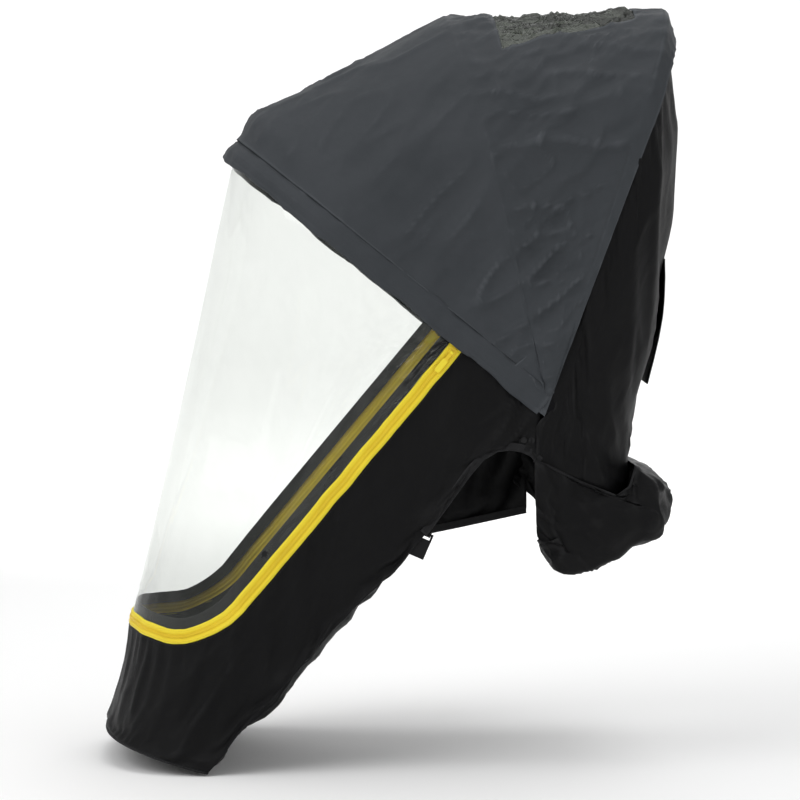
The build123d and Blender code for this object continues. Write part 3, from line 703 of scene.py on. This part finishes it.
def surface_x(y, z, out=0.0):
    """Half width of the body's surface at a place on the side view."""
    depth = np.clip(y - front_y(z), 0, NOSE)
    return (BODY_HALF + out) * np.sqrt(np.clip(1 - ((NOSE - depth) / NOSE) ** 2, 0, 1))


def surface_depth(p):
    """Distance behind the nose line at each point's height."""
    return p[..., 1] - front_y(p[..., 2])


def surface_normal(p):
    """Outward unit normals of the body's surface at points [.., xyz]."""
    depth = np.minimum(p[..., 1] - front_y(p[..., 2]) - NOSE, 0)
    n = np.stack([p[..., 0] / BODY_HALF ** 2, depth / NOSE ** 2, -SLOPE * depth / NOSE ** 2], -1)
    return unit(n)


def zip_side(offset=0.0, beyond=0.0):
    """The zip on the side view, top to front, moved by offset towards the window, [n, (y, z)]."""
    d = ZIP_TOP - ZIP_CORNER
    d = d / np.linalg.norm(d)
    normal = np.array([-d[1], d[0]])
    angle = np.arctan2(d[1], d[0])
    radius = ZIP_BEND - offset
    centre = np.array([ZIP_CORNER[0] - ZIP_BEND * np.tan(angle / 2), ZIP_CORNER[1] + ZIP_BEND])
    a = np.linspace(angle, 0, 24)
    bend = centre[None] + radius * np.stack([np.sin(a), -np.cos(a)], 1)
    top = ZIP_TOP + normal * offset + d * beyond
    n = int(np.linalg.norm(bend[0] - top) / 8)
    run = top + (bend[0] - top) * np.linspace(0, 1, n, endpoint=False)[:, None]
    level = np.stack([np.linspace(bend[-1, 0], -420, 60)[1:], np.full(59, bend[-1, 1])], 1)
    curve = np.concatenate([run, bend, level])
    curve[:, 1] -= 5.5 * np.exp(-((curve[:, 0] + 285) / 34) ** 2)
    curve[:, 1] += 3.0 * smooth((-318 - curve[:, 0]) / 22)
    return curve


def height_at(curve, y):
    order = np.argsort(curve[:, 0], kind="stable")
    return np.interp(y, curve[order, 0], curve[order, 1])


def column_height(curve, depth):
    """Height at which the body's column of a given depth behind the nose meets a side-view curve."""
    z = np.full_like(depth, 200.0)
    for _ in range(60):
        z = 0.5 * z + 0.5 * height_at(curve, front_y(z) + depth)
    return z


def calf_line(side):
    """Lower edge of the body on the side view, front to rear."""
    z = np.linspace(0, 1, 40)[:, None]
    top = CALF_TOP if side < 0 else np.array([39.0, 308.0])
    line = HEEL + (top - HEEL) * z
    t = z[:, 0]
    bump = 4.5 * noise(t * 7.0, t * 0 + side, 71) + 3.4 * np.abs(noise(t * 17.0, t * 0, 73)) - 1.5
    line = line + np.array([0.737, -0.675])[None] * (bump * smooth(t / 0.2) * smooth((1 - t) / 0.15))[:, None]
    hem = np.array(LEFT_ARCH if side > 0 else [(198.0, 291.5)] + RIGHT_HEM[1:])[::-1]
    return np.concatenate([line, hem[1:] if side > 0 else hem])


def lower_edge(side):
    sole = np.stack([np.linspace(-420, HEEL[0], 12, endpoint=False)] * 2, 1)
    sole[:, 1] = (HEEL[0] - sole[:, 0]) * (FRONT_Z - HEEL[1]) / (HEEL[0] - FRONT_Y)
    return np.concatenate([sole, calf_line(side)])


def hem_line(above):
    """A line of the side view along the front hoop, above it by a distance."""
    c, s = cos(radians(FRONT)), sin(radians(FRONT))
    r = np.array([-60.0, 900.0])
    return np.stack([PIVOT[0] + r * c + above * s, PIVOT[1] + r * s - above * c], 1)


def squared(phi):
    """Half width and depth round the toe at the sole, which is squarer than at the zip."""
    power = 2 / 2.7
    return BODY_HALF * np.abs(np.sin(phi)) ** power * np.sign(np.sin(phi)), NOSE * (1 - np.cos(phi) ** power)


NOSE_COLS, SIDE_COLS, BODY_ROWS = 52, 70, 66


def body_columns(side, upper):
    """Bottom and top points of the body's columns on one side, from the nose's middle to the rear."""
    phi = np.linspace(0, pi / 2, NOSE_COLS)
    depth = NOSE * (1 - np.cos(phi))
    low, high = lower_edge(side), upper
    zt = column_height(high, depth)
    x = BODY_HALF * np.sin(phi)
    square_x, square_depth = squared(phi)
    zb = column_height(low, square_depth)
    nose_b = np.stack([square_x, front_y(zb) + square_depth, zb], 1)
    nose_t = np.stack([x, front_y(zt) + depth, zt], 1)
    t = np.linspace(0, 1, SIDE_COLS + 1)[1:]
    rear = 178.0 if side > 0 else 198.0
    yb = nose_b[-1, 1] + (rear - nose_b[-1, 1]) * t
    yt = nose_t[-1, 1] + (rear - nose_t[-1, 1]) * t
    side_b = np.stack([np.full(SIDE_COLS, BODY_HALF), yb, height_at(low, yb)], 1)
    side_t = np.stack([np.full(SIDE_COLS, BODY_HALF), yt, height_at(high, yt)], 1)
    return np.concatenate([nose_b, side_b]), np.concatenate([nose_t, side_t])


def build_body():
    """Sides and toe as one sheet round the nose, from the zip down to the sole, calf and hip hems."""
    edge = zip_side(-ZIP_HALF + 1.5, 30.0)
    hem = hem_line(-6.0)
    ys = np.linspace(-420, 200, 240)
    tucked = np.minimum(height_at(edge, ys), np.interp(ys, hem[::-1, 0], hem[::-1, 1]))
    tucked = np.where(ys > 150, np.minimum(tucked, 470.0), tucked)
    upper = np.stack([ys, tucked], 1)
    lb, lt = body_columns(1, upper)
    rb, rt = body_columns(-1, upper)
    P = loft(joined(lt, rt), joined(lb, rb), BODY_ROWS)
    n = surface_normal(P)
    rows = np.linspace(0, 1, BODY_ROWS)[:, None]
    edge_free = smooth(rows / 0.05) * smooth((1 - rows) / 0.06)
    calm = 1 - 0.55 * smooth((surface_depth(P) - 110) / -70)
    d = 9.0 * (creases3(P, 58, 210, 52, 81, 1.6) - 0.45) + 6.0 * (creases3(P, 44, 170, 38, 83, 2.2) - 0.4)
    d = (d + 5.0 * (creases3(P, 72, 120, 27, 87, 2.6) - 0.33)) * calm
    d = d + 0.3 * grain(P, 9, 89)
    flat = P
    P = P + n * (d * edge_free - 0.7)[..., None]
    pins = pinned_rim(P, slice(2, -2), slice(2, -2))
    replaced = ("side_panel_left", "side_panel_right", "toe_panel")
    sheet("body_cloth", P, BLACK_CLOTH, "cover", replaced, CLOTH, flat=flat,
          settle=(pins, {"grow": 0.014, "cap": 6, "bending": 1.6}))


def path_on_body(curve_side):
    """A line round the body that follows a side-view curve: [n, xyz], left to right."""
    y, z = curve_side[:, 0], curve_side[:, 1]
    depth = y - front_y(z)
    cut = np.nonzero(depth < NOSE * 0.55)[0]
    last = cut[0] if len(cut) else len(y)
    side = np.stack([surface_x(y[:last], z[:last]), y[:last], z[:last]], 1)
    phi = np.linspace(np.arccos(1 - depth[last] / NOSE), 0, 40)
    level = column_height(curve_side, NOSE * (1 - np.cos(phi)))
    nose = np.stack([BODY_HALF * np.sin(phi), front_y(level) + NOSE * (1 - np.cos(phi)), level], 1)
    left = np.concatenate([side, nose])
    return np.concatenate([left, (left * [-1, 1, 1])[-2::-1]])


def even(path, step):
    """The same line with evenly spaced points."""
    s = np.concatenate([[0], np.linalg.norm(np.diff(path, axis=0), axis=1).cumsum()])
    at = np.linspace(0, s[-1], max(3, int(s[-1] / step)))
    return np.stack([np.interp(at, s, path[:, i]) for i in range(path.shape[1])], 1), at


def frames_on_body(path):
    """Outward normals, directions across towards the window, and directions along a line."""
    T = np.gradient(path, axis=0)
    for _ in range(3):
        T[1:-1] = (T[:-2] + T[1:-1] * 2 + T[2:]) / 4
    T = unit(T)
    N = surface_normal(path)
    B = unit(np.cross(N, T))
    B *= np.sign((B * np.array([0, -0.6, 0.8])).sum(1))[:, None]
    return N, B, T


def ribbon(path, profile, N, B):
    """A band swept along a line. profile is [(across, out), ...] in millimetres."""
    a, o = np.array(profile).T
    return path[None] + B[None] * a[:, None, None] + N[None] * o[:, None, None]


def build_zip():
    """Both halves of the zip as one band: tape, rolled edges and the coil."""
    path, at = even(path_on_body(zip_side(0.0, -3.0)), 4.0)
    N, B, _ = frames_on_body(path)
    half = [(9.3, -0.6), (9.0, 0.7), (8.0, 1.5), (6.0, 1.9), (3.4, 1.7), (2.6, 1.0), (1.6, 1.5)]
    profile = [(-a, o) for a, o in half] + [(0, 1.9)] + half[::-1]
    P = ribbon(path, profile, N, B)
    wave = 0.5 * wobble(at, 33, 91) + 0.25 * wobble(at, 11, 93)
    P = P + (B * wave[:, None])[None] + (N * (0.4 * wobble(at, 25, 95))[:, None])[None]
    sheet("zip_band", P, ZIP_CLOTH, "cover", ("zip_tape_left", "zip_tape_right"), 0.5)
    teeth, tat = even(path, 2.4)
    tn, tb, tt = frames_on_body(teeth)
    verts, faces = [], []
    for i in range(len(teeth)):
        across, out, along = tb[i] * 2.1, tn[i], tt[i] * 0.75
        centre = teeth[i] + tn[i] * 2.15 + tb[i] * float(np.interp(tat[i], at, wave))
        base = len(verts)
        for x, h, w in ((-1, -0.4, 1), (-0.7, 0.55, 0.8), (0.7, 0.55, 0.8), (1, -0.4, 1)):
            for k in (-1, 1):
                verts.append((centre + across * x + out * h + along * w * k) / 1000)
        for j in range(3):
            a = base + 2 * j
            faces.append((a, a + 1, a + 3, a + 2))
        faces.append((base, base + 2, base + 4, base + 6))
        faces.append((base + 1, base + 7, base + 5, base + 3))
    piece_from(verts, faces, "zip_teeth", ZIP_COIL, "cover")


def piece_from(verts, faces, name, material, body, shade=False):
    mesh = bpy.data.meshes.new(name)
    mesh.from_pydata([tuple(v) for v in verts], [], faces)
    mesh.polygons.foreach_set("use_smooth", [shade] * len(mesh.polygons))
    mesh.update()
    obj = add(name, mesh)
    obj["kept"] = []
    return finish_piece(obj, material, body)


def build_window_binding():
    """Black tape inside the window's zipped edge, puckered where it is sewn."""
    path, at = even(path_on_body(zip_side(ZIP_HALF + 7.0, -2.0)), 4.0)
    N, B, _ = frames_on_body(path)
    profile = [(-8.0, -1.6), (-7.0, -1.2), (-3.5, -1.3), (0, -1.6), (3.5, -1.3), (6.5, -1.2), (7.2, -1.9)]
    P = resample(np.array(ribbon(path, profile, N, B)), 14, len(path))
    pucker = 0.9 * np.maximum(0, wobble(at, 9, 101)) + 0.5 * wobble(at, 26, 103)
    P = P - (N * pucker[:, None])[None]
    replaced = ("window_binding_left", "window_binding_right")
    sheet("window_binding_tape", P, BINDING, "cover", replaced, 0.6)


WINDOW_COLS, WINDOW_ROWS = 72, 84


def build_window():
    """Clear window: from the zip up to the front hoop, round the nose."""
    low = zip_side(ZIP_HALF - 1.0, 120.0)
    phi = np.linspace(0, pi / 2, 34)
    depth = np.concatenate([NOSE * (1 - np.cos(phi)), np.linspace(NOSE, 327.5, WINDOW_COLS - 33)[1:]])
    x = np.concatenate([BODY_HALF * np.sin(phi), np.full(WINDOW_COLS - 34, BODY_HALF)])
    zb = column_height(low, depth)
    k = (FRONT_Y - FRONT_Z * SLOPE + depth - PIVOT[0])
    c, s = cos(radians(FRONT)), sin(radians(FRONT))
    zt = (-3.0 - k * s + PIVOT[1] * -c) / (SLOPE * s - c)
    zt = np.maximum(zt, zb + 0.5)
    half_b = np.stack([x, front_y(zb) + depth, zb], 1)
    half_t = np.stack([x, front_y(zt) + depth, zt], 1)
    P = loft(joined(half_t, half_t), joined(half_b, half_b), WINDOW_ROWS)
    u, v = cloth_uv(P)
    n = surface_normal(P)
    rows = np.linspace(0, 1, WINDOW_ROWS)[:, None]
    free = smooth(rows / 0.04) * smooth((1 - rows) / 0.05)
    d = 2.4 * noise(u / 60, v / 420, 111) + 1.1 * noise(u / 24, v / 260, 113)
    d += 0.5 * noise(u / 11, v / 160, 115)
    near_zip = np.exp(-(((P[..., 1] - 45) / 70) ** 2 + ((P[..., 2] - 540) / 75) ** 2))
    low_edge = np.exp(-((1 - rows) / 0.10) ** 2)
    crush = 4.2 * (creases(u, v, 40, 26, 10, 117, 2.0) - 0.4)
    crush += 3.0 * (creases(u, v, 130, 22, 9, 119, 2.0) - 0.4)
    d = d + crush * (near_zip + 0.35 * low_edge)
    flat = P
    P = P + n * (d * free)[..., None]
    obj = sheet("window_film_sheet", P, WINDOW_FILM, "front_hoop", ("front_window",), flat=flat)
    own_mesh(obj)


def build_hem_binding(side):
    """Elastic binding gathered round a hip hem."""
    hem = np.array(LEFT_ARCH if side > 0 else [(198.0, 291.5)] + RIGHT_HEM[1:])
    if side > 0:
        hem = np.concatenate([hem, [[34.0, 301.5]]])
    else:
        hem = np.concatenate([hem, CALF_TOP[None] + [[30.0, 5.0]], CALF_TOP[None] + [[2.0, 1.0]]])
    line, at = even(hem, 3.0)
    path = np.concatenate([np.full((len(line), 1), BODY_HALF * side), line], 1)
    T = unit(np.gradient(path, axis=0))
    N = np.tile([side, 0.0, 0.0], (len(path), 1))
    B = np.cross(N, T) * side
    if B[:, 2].mean() < 0:
        B = -B
    gather = 0.45 * np.sin(at / 2.1 + 2.0 * wobble(at, 17, 121)) * (1.0 + 0.4 * wobble(at, 30, 123))
    profile = [(8.5, -0.6), (8.3, 0.9), (6.0, 1.3), (3.0, 1.5), (0.2, 1.4), (-1.2, 0.4), (-1.5, -0.6),
               (-1.1, -1.7), (0.4, -2.4), (4.0, -2.4), (8.0, -2.1), (8.5, -1.2)]
    P = ribbon(path, profile, N, B)
    shape = np.array([0, .2, .8, 1, .9, .6, .4, .6, .9, 1, .4, 0])[:, None]
    P = P + N[None] * (shape * gather[None] * np.sign(np.array(profile)[:, 1:2] + 0.5))[..., None]
    word = "left" if side > 0 else "right"
    P = resample(P, 24, len(path))
    sheet(f"hip_hem_{word}", P, BINDING, "cover", (f"hem_binding_{word}",), 0.4)


def build_calf():
    """Panel behind the legs between the two sides, with soft folds across."""
    line = calf_line(-1)[:40]
    rows, cols = 40, 56
    x = np.linspace(1, -1, cols)
    P = np.zeros((rows, cols, 3))
    t = np.linspace(0, 1, rows)
    P[..., 0] = x[None] * (BODY_HALF - 1.0)
    near = calf_line(1)
    z_near = np.interp(line[:, 1], near[:40, 1], near[:40, 0])
    mix = (x[None] + 1) / 2
    P[..., 1] = line[:, 0:1] * (1 - mix) + z_near[:, None] * mix
    P[..., 2] = line[:, 1:2]
    u, v = cloth_uv(P)
    flat = P
    free = smooth((1 - np.abs(x)) / 0.12)[None] * smooth(t / 0.06)[:, None] * smooth((1 - t) / 0.05)[:, None]
    d = 7.0 * (creases(u, v, 4, 330, 44, 131) - 0.45) + 3.0 * (creases(u, v, 20, 120, 25, 133) - 0.45)
    P = P + np.array([0, 0.737, -0.675]) * (d * free)[..., None]
    pins = pinned_rim(P, slice(2, -2), slice(2, -2))
    sheet("calf_cloth", P, BLACK_CLOTH, "cover", ("calf_panel",), CLOTH, flat=flat,
          settle=(pins, {"grow": 0.02, "cap": 9, "frames": 16}))


def build_sole():
    """Sole of the foot box with its piped edge."""
    phi = np.linspace(-pi / 2, pi / 2, 120)
    inside = np.linspace(0, 1, 26)
    outline = []
    for x, d in zip(*squared(phi)):
        z = 20.0
        for _ in range(30):
            z = (HEEL[0] - (front_y(z) + d)) * 35 / 132
        outline.append((x, front_y(z) + d, z))
    outline = np.array(outline)
    over = outline[:, 1] > HEEL[0]
    outline[over, 1], outline[over, 2] = HEEL[0], 0.0
    centre = np.array([0.0, HEEL[0], 0.0])
    anchor = outline.copy()
    anchor[:, 0] *= 0.98
    anchor[:, 1], anchor[:, 2] = centre[1], centre[2]
    P = outline[None] * (1 - inside[:, None, None]) + anchor[None] * inside[:, None, None]
    u, v = P[..., 0], P[..., 1]
    lift = 0.6 + 0.8 * noise(u / 50, v / 40, 141) * smooth(inside / 0.1)[:, None]
    P = P + np.array([0, 0, 1.0]) * lift[..., None]
    uv = np.stack([u, v], -1)
    sheet("sole_cloth", P, SOLE_CLOTH, "cover", ("foot_sole",), 1.2, uv=uv)
    rim, _ = even(np.concatenate([outline, outline[:1]]), 4.0)
    tube("sole_piping", rim, 1.7, BINDING, "cover")


def around(path, radius, sides):
    """Points of a round tube that follows a line."""
    T = unit(np.gradient(path, axis=0))
    A = unit(np.cross(T, np.array([0.0, 0.12, 1.0])))
    C = np.cross(T, A)
    a = np.linspace(0, 2 * pi, sides, endpoint=False)
    P = path[None] + radius * (np.cos(a)[:, None, None] * A[None] + np.sin(a)[:, None, None] * C[None])
    return np.concatenate([P, P[:1]])


def tube(name, path, radius, material, body, sides=8):
    return finish_piece(grid_mesh(name, around(path, radius, sides)), material, body)


def build_sleeve():
    """Cloth sleeve that holds the middle hoop's tube under the hood."""
    path, _ = even(place(arch(198.5, 504.65, 194.5, 24), MID), 5.0)
    P = around(path, 4.35, 16)
    sheet("mid_hoop_sleeve", P, HOOD_CLOTH, "mid_hoop")


# the pouch's profile, and the line of its open edge, on the side view
BAG_SIDE = [(300.0, 388.0), (310.0, 384.0), (326.0, 379.0), (343.0, 370.0), (358.0, 357.0),
            (369.0, 341.0), (372.0, 324.0), (359.0, 312.0), (330.0, 300.0), (302.0, 289.0),
            (281.0, 277.0), (264.0, 266.0), (248.0, 257.5), (230.0, 254.5), (210.0, 257.0),
            (191.0, 268.0), (181.0, 288.0)]
BAG_RIM = [(300.0, 388.0), (292.0, 362.0), (276.0, 350.0), (230.0, 368.0), (186.0, 390.0),
           (170.5, 396.0), (172.0, 350.0), (175.0, 300.0), (181.0, 288.0)]
BAG_HALF = 209.0


def build_bag():
    """Rear pouch: a shell lofted round its side profile, closed by its two sides, open in front."""
    line, at = even(np.array(BAG_SIDE), 6.0)
    for _ in range(4):
        line[1:-1] = (line[:-2] + 2 * line[1:-1] + line[2:]) / 4
    rim, _ = even(np.array(BAG_RIM), 3.0)
    s_rim = np.concatenate([[0], np.linalg.norm(np.diff(rim, axis=0), axis=1).cumsum()])
    target_at = (at / at[-1]) ** 0.8 * s_rim[-1]
    target = np.stack([np.interp(target_at, s_rim, rim[:, k]) for k in range(2)], 1)
    turn = np.linspace(0, pi / 2, 15)
    radius = 24.0
    x = np.concatenate([BAG_HALF - radius * (1 - np.cos(turn)), np.linspace(BAG_HALF - radius, 0, 30)[1:]])
    pull = np.concatenate([radius * (1 - np.sin(turn)), np.zeros(29)])
    away = np.gradient(line, axis=0)
    away = unit(np.stack([away[:, 1], -away[:, 0]], 1))
    away *= np.sign(((line - [250.0, 330.0]) * away).sum(1)).mean()
    half = np.zeros((len(line), len(x), 3))
    half[..., 0] = x[None]
    half[..., 1:] = line[:, None] - away[:, None] * pull[None, :, None]
    limit = 375.0 - 43.0 * (half[..., 0] / BAG_HALF) ** 2
    half[..., 1] -= 7.0 * np.log1p(np.exp((half[..., 1] - limit) / 7.0))
    edge = half[:, 0]
    goal = np.concatenate([np.full((len(line), 1), BAG_HALF), target], 1)
    near = (1 - np.linspace(0, 1, 22)[1:]) ** 1.0
    wall = goal[:, None] * (1 - near[None, :, None]) + edge[:, None] * near[None, :, None]
    left = np.concatenate([wall[:, ::-1], half], axis=1)
    P = np.concatenate([left, (left * [-1, 1, 1])[:, -2::-1]], axis=1)
    skew = 40.0 * (BAG_HALF - P[..., 0]) / (2 * BAG_HALF)
    P[..., 1] += skew * smooth((345 - P[..., 2]) / 45) * smooth((250 - P[..., 1]) / 70)
    flat = P
    n = outward(P, P - np.array([0, 250.0, 330.0]))
    first = smooth(np.linspace(0, 1, P.shape[0])[:, None] / 0.05)
    d = 9.0 * (creases3(P, 24, 130, 34, 151, 1.6) - 0.45) + 6.0 * (creases3(P, 150, 90, 26, 153, 2.2) - 0.4)
    d = d + 2.4 * (creases3(P, 80, 60, 16, 157, 1.8) - 0.45)
    P = P + n * ((d - 1.0) * first)[..., None]
    pins = pinned_rim(P, slice(2, -2), slice(1, -1))
    settings = {"grow": 0.03, "cap": 7, "gravity": 0.9, "bending": 0.3}
    sheet("rear_bag_cloth", P, BLACK_CLOTH, "cover", ("rear_bag",), CLOTH, flat,
          settle=(pins, settings))
    hem, _ = even(np.concatenate([[(BAG_HALF, *p)] for p in rim[2:int(len(rim) * 0.62)]]), 3.0)
    for side in (1, -1):
        word = "left" if side > 0 else "right"
        tube(f"bag_rim_{word}", hem * [side, 1, 1] + [side * 0.6, 0, 0], 1.5, BINDING, "cover")


def build_flap():
    """Rain flap at the back, hanging from its top seam."""
    side = [(349.4, 648.0), (349.6, 624.0), (348.2, 600.0), (345.8, 574.0), (342.0, 546.0), (336.5, 517.0),
            (329.6, 487.0)]
    line, _ = even(np.array(side), 6.0)
    cols = 34
    x = np.linspace(99, -99, cols)
    P = np.zeros((len(line), cols, 3))
    P[..., 0] = x[None]
    P[..., 1], P[..., 2] = line[:, 0:1], line[:, 1:2]
    u, v = cloth_uv(P)
    t = np.linspace(0, 1, len(line))[:, None]
    P[..., 1] += smooth(t * 2) * (2.6 * noise(u / 46, v / 190, 161) + 1.0 * noise(u / 20, v / 90, 163))
    P[..., 2] += t * 1.5 * wobble(u, 60, 165)
    sheet("back_flap_cloth", P, BLACK_CLOTH, "back_flap", ("back_flap",), 1.4)


def build_patch(side):
    """Doubled cloth at the tip of the hood, over the pin."""
    word = "left" if side > 0 else "right"
    c, s = cos(radians(FRONT)), sin(radians(FRONT))
    seam = np.array([cos(radians(SEAM)), sin(radians(SEAM))])
    corners = [
        np.array([183.5, 451.5]),
        np.array([PIVOT[0] + 58 * c - HEM * s, PIVOT[1] + 58 * s + HEM * c]),
        np.array([PIVOT[0] + 66 * c + 8 * s, PIVOT[1] + 66 * s - 8 * c]),
        np.array(polar(104, 72)),
        PIVOT + seam * 66,
    ]
    closed, _ = even(np.array(corners + [corners[0]]), 4.0)
    middle = np.mean(np.array(corners), axis=0)
    rings = np.linspace(0, 1, 12)
    P = np.zeros((12, len(closed), 3))
    P[..., 1:] = closed[None] * (1 - rings[:, None, None]) + middle * rings[:, None, None]
    bulge = 1.0 * smooth(rings / 0.5)[:, None] - 0.5
    P[..., 0] = side * (HALF + 1.0 + bulge + 0.2 * noise(P[..., 1] / 16, P[..., 2] / 16, 171))
    replaced = (f"hub_patch_{word}",)
    sheet(f"hood_tip_{word}", P, HOOD_CLOTH, "cover", replaced, 0.5, uv=P[..., 1:])


def build_strap(side):
    """Webbing sewn inside the hem and looped round the buckle's bar."""
    word = "left" if side > 0 else "right"
    start = np.array([41.6, 321.0] if side > 0 else [92.0, 342.0])
    hang = np.array([-0.40, -0.9165])
    square = np.array([0.9165, -0.40])
    loop = [(0, 0.7), (8, 0.75), (15, 0.9), (17.2, 2.2), (19.6, 3.0), (22.0, 2.0), (22.7, 0.0), (22.0, -2.0),
            (19.6, -3.0), (17.2, -2.2), (15, -0.9), (8, -0.75), (1, -0.7)]
    line, _ = even(np.array(loop, float), 1.0)
    for _ in range(2):
        line[1:-1] = (line[:-2] + 2 * line[1:-1] + line[2:]) / 4
    across = np.linspace(-7.5, 7.5, 12)
    P = np.zeros((len(line), 12, 3))
    yz = start + line[:, 0:1] * hang
    P[..., 0] = side * 198.0 + line[:, 1:2]
    P[..., 1] = yz[:, 0:1] + across[None] * square[0]
    P[..., 2] = yz[:, 1:2] + across[None] * square[1]
    body = f"buckle_{word}"
    sheet(f"strap_web_{word}", P, WEBBING, body, (f"strap_tab_{word}",), 1.1)


def stitches(name, path, N, material, body, pitch=5.0, length=3.4, radius=0.32):
    """A row of machine stitches along a line."""
    line, _ = even(path, pitch)
    verts, faces = [], []
    for i in range(len(line) - 1):
        a = line[i]
        direction = line[i + 1] - a
        size = np.linalg.norm(direction)
        if size < 1e-6:
            continue
        direction = direction / size
        k = int(round(i * (len(path) - 1) / (len(line) - 1)))
        out = N[k]
        side = np.cross(direction, out)
        base = len(verts)
        for f, h in ((0.0, 0.0), (0.25, 0.8), (0.75, 0.8), (1.0, 0.0)):
            p = a + direction * length * f
            narrow = 0.6 if f in (0.0, 1.0) else 1
            for w in (-1, 0, 1):
                rise = h + (0.7 if w == 0 else 0)
                verts.append((p + side * radius * w * narrow + out * radius * rise) / 1000)
        for j in range(3):
            for m in range(2):
                b = base + 3 * j + m
                faces.append((b, b + 1, b + 4, b + 3))
    return piece_from(verts, faces, name, material, body, shade=True)


def build_stitching():
    """Thread along the hood's seams, the casing's edge and the zip's edges."""
    for name, angle, offset, reach, corner, out, body, start in (
        ("casing_stitch_top", FRONT, HEM - 3.2, FRONT_R, CORNER, 0.6, "front_hoop", 70),
        ("casing_stitch_low", FRONT, -HEM + 3.4, FRONT_R, CORNER, 1.2, "front_hoop", 70),
        ("ridge_stitch", REAR, -3.5, REAR_R, REAR_CORNER, 0.4, "cover", 185),
    ):
        half = HALF + out
        section = arch(half, reach + out, corner, start)
        line = place(section, angle, offset)
        n = radial(line)
        leg = np.abs(line[:, 0]) > half - 0.5
        n[leg] = 0
        n[leg, 0] = np.sign(line[leg, 0])
        stitches(name, line, n, THREAD_GREY, body)
    for name, offset, out, thread, slot in (
        ("zip_stitch_low", -ZIP_HALF - 2.6, 0.9, THREAD_BLACK, "black_cloth"),
        ("zip_stitch_tape", ZIP_HALF - 2.4, 2.2, ZIP_COIL, "zip_tape"),
        ("zip_stitch_tape_low", -ZIP_HALF + 2.4, 2.2, ZIP_COIL, "zip_tape"),
    ):
        path, _ = even(path_on_body(zip_side(offset, -4.0)), 4.0)
        N = surface_normal(path)
        stitches(name, path + N * out, N, thread, "cover", 4.5, 3.0)


def stage():
    """Pale floor that runs up into the background, lights and camera."""
    sweep = [(-6, 0), (3.5, 0), (5.0, 0.25), (6.0, 1.0), (6.5, 2.2), (6.7, 7.0)]  # distance back, height
    gap = 0.004                               # keeps the floor clear of the sole
    target = np.array([0.0, 0.012, 0.460])
    az, el, distance = radians(87.0), radians(3.5), 4.5
    toward = np.array([sin(az) * cos(el), -cos(az) * cos(el), sin(el)])
    flat = np.array([sin(az), -cos(az), 0.0])
    across = np.array([-flat[1], flat[0], 0.0])
    verts = [tuple(-flat * y + across * x + np.array([0, 0, z - gap])) for y, z in sweep for x in (-9, 9)]
    faces = [(2 * i, 2 * i + 1, 2 * i + 3, 2 * i + 2) for i in range(len(sweep) - 1)]
    mesh = bpy.data.meshes.new("studio_floor")
    mesh.from_pydata(verts, [], faces)
    mesh.polygons.foreach_set("use_smooth", [True] * len(faces))
    floor = add("studio_floor", mesh)
    n = Nodes("studio_pale")
    shade = n.node("BsdfPrincipled", Base_Color=rgba(0.93, 0.93, 0.93), Roughness=0.9)
    mesh.materials.append(n.done(shade.outputs[0]))

    def light(name, place_at, size, power, aim=target, colour=(1, 1, 1)):
        data = bpy.data.lights.new(name, "AREA")
        data.shape, data.size, data.energy, data.color = "SQUARE", size, power, colour
        lamp = add(name, data)
        lamp.location = place_at
        lamp.rotation_euler = (Vector(aim) - Vector(place_at)).to_track_quat("-Z", "Y").to_euler()

    light("key", (2.2, -2.6, 2.9), 2.8, 62)
    light("fill", (3.4, 2.2, 1.4), 2.6, 17)
    light("top", (0.0, 0.2, 3.4), 2.8, 36)
    light("back", (-3.0, 1.0, 2.2), 2.6, 31)
    light("wall", (-3.6, 0.0, 2.6), 3.0, 56, aim=(-6.6, 0.3, 0.6))
    world = bpy.data.worlds.new("studio")
    world.use_nodes = True
    world.node_tree.nodes["Background"].inputs[0].default_value = (1, 1, 1, 1)
    world.node_tree.nodes["Background"].inputs[1].default_value = 0.55
    bpy.context.scene.world = world
    data = bpy.data.cameras.new("camera")
    view_width = 1.056                        # metres across the frame at the target
    data.lens, data.sensor_width = 36.0 * distance / view_width, 36.0
    data.clip_end = 60
    camera = add("camera", data)
    where = Vector(target) + Vector(toward) * distance
    camera.location = where
    camera.rotation_euler = (Vector(target) - where).to_track_quat("-Z", "Y").to_euler()
    bpy.context.scene.camera = camera
    view = bpy.context.scene.view_settings
    view.view_transform, view.look, view.exposure, view.gamma = "Standard", "None", 0.0, 1.0


def dress_cad():
    """Materials for the CAD nodes that stay in view."""
    looks = (
        ("hoop_end", MOULDED), ("_hoop", TUBE_METAL), ("hub_bracket", MOULDED), ("buckle", MOULDED),
        ("zip_slider", SLIDER), ("zip_pull", PULL), ("pivot_pin", STEEL), ("hub_rivets", RIVET_BLACK),
        ("foot_board", BOARD),
    )
    for node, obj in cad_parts.items():
        chosen = next((look for part, look in looks if part in node), None)
        if chosen:
            obj.data.materials.clear()
            obj.data.materials.append(chosen)


build_hood()
build_sleeve()
build_casing()
build_back()
build_body()
build_zip()
build_window_binding()
build_window()
for hip in (1, -1):
    build_hem_binding(hip)
    build_patch(hip)
    build_strap(hip)
build_calf()
build_sole()
build_bag()
build_flap()
build_stitching()
dress_cad()
stage()
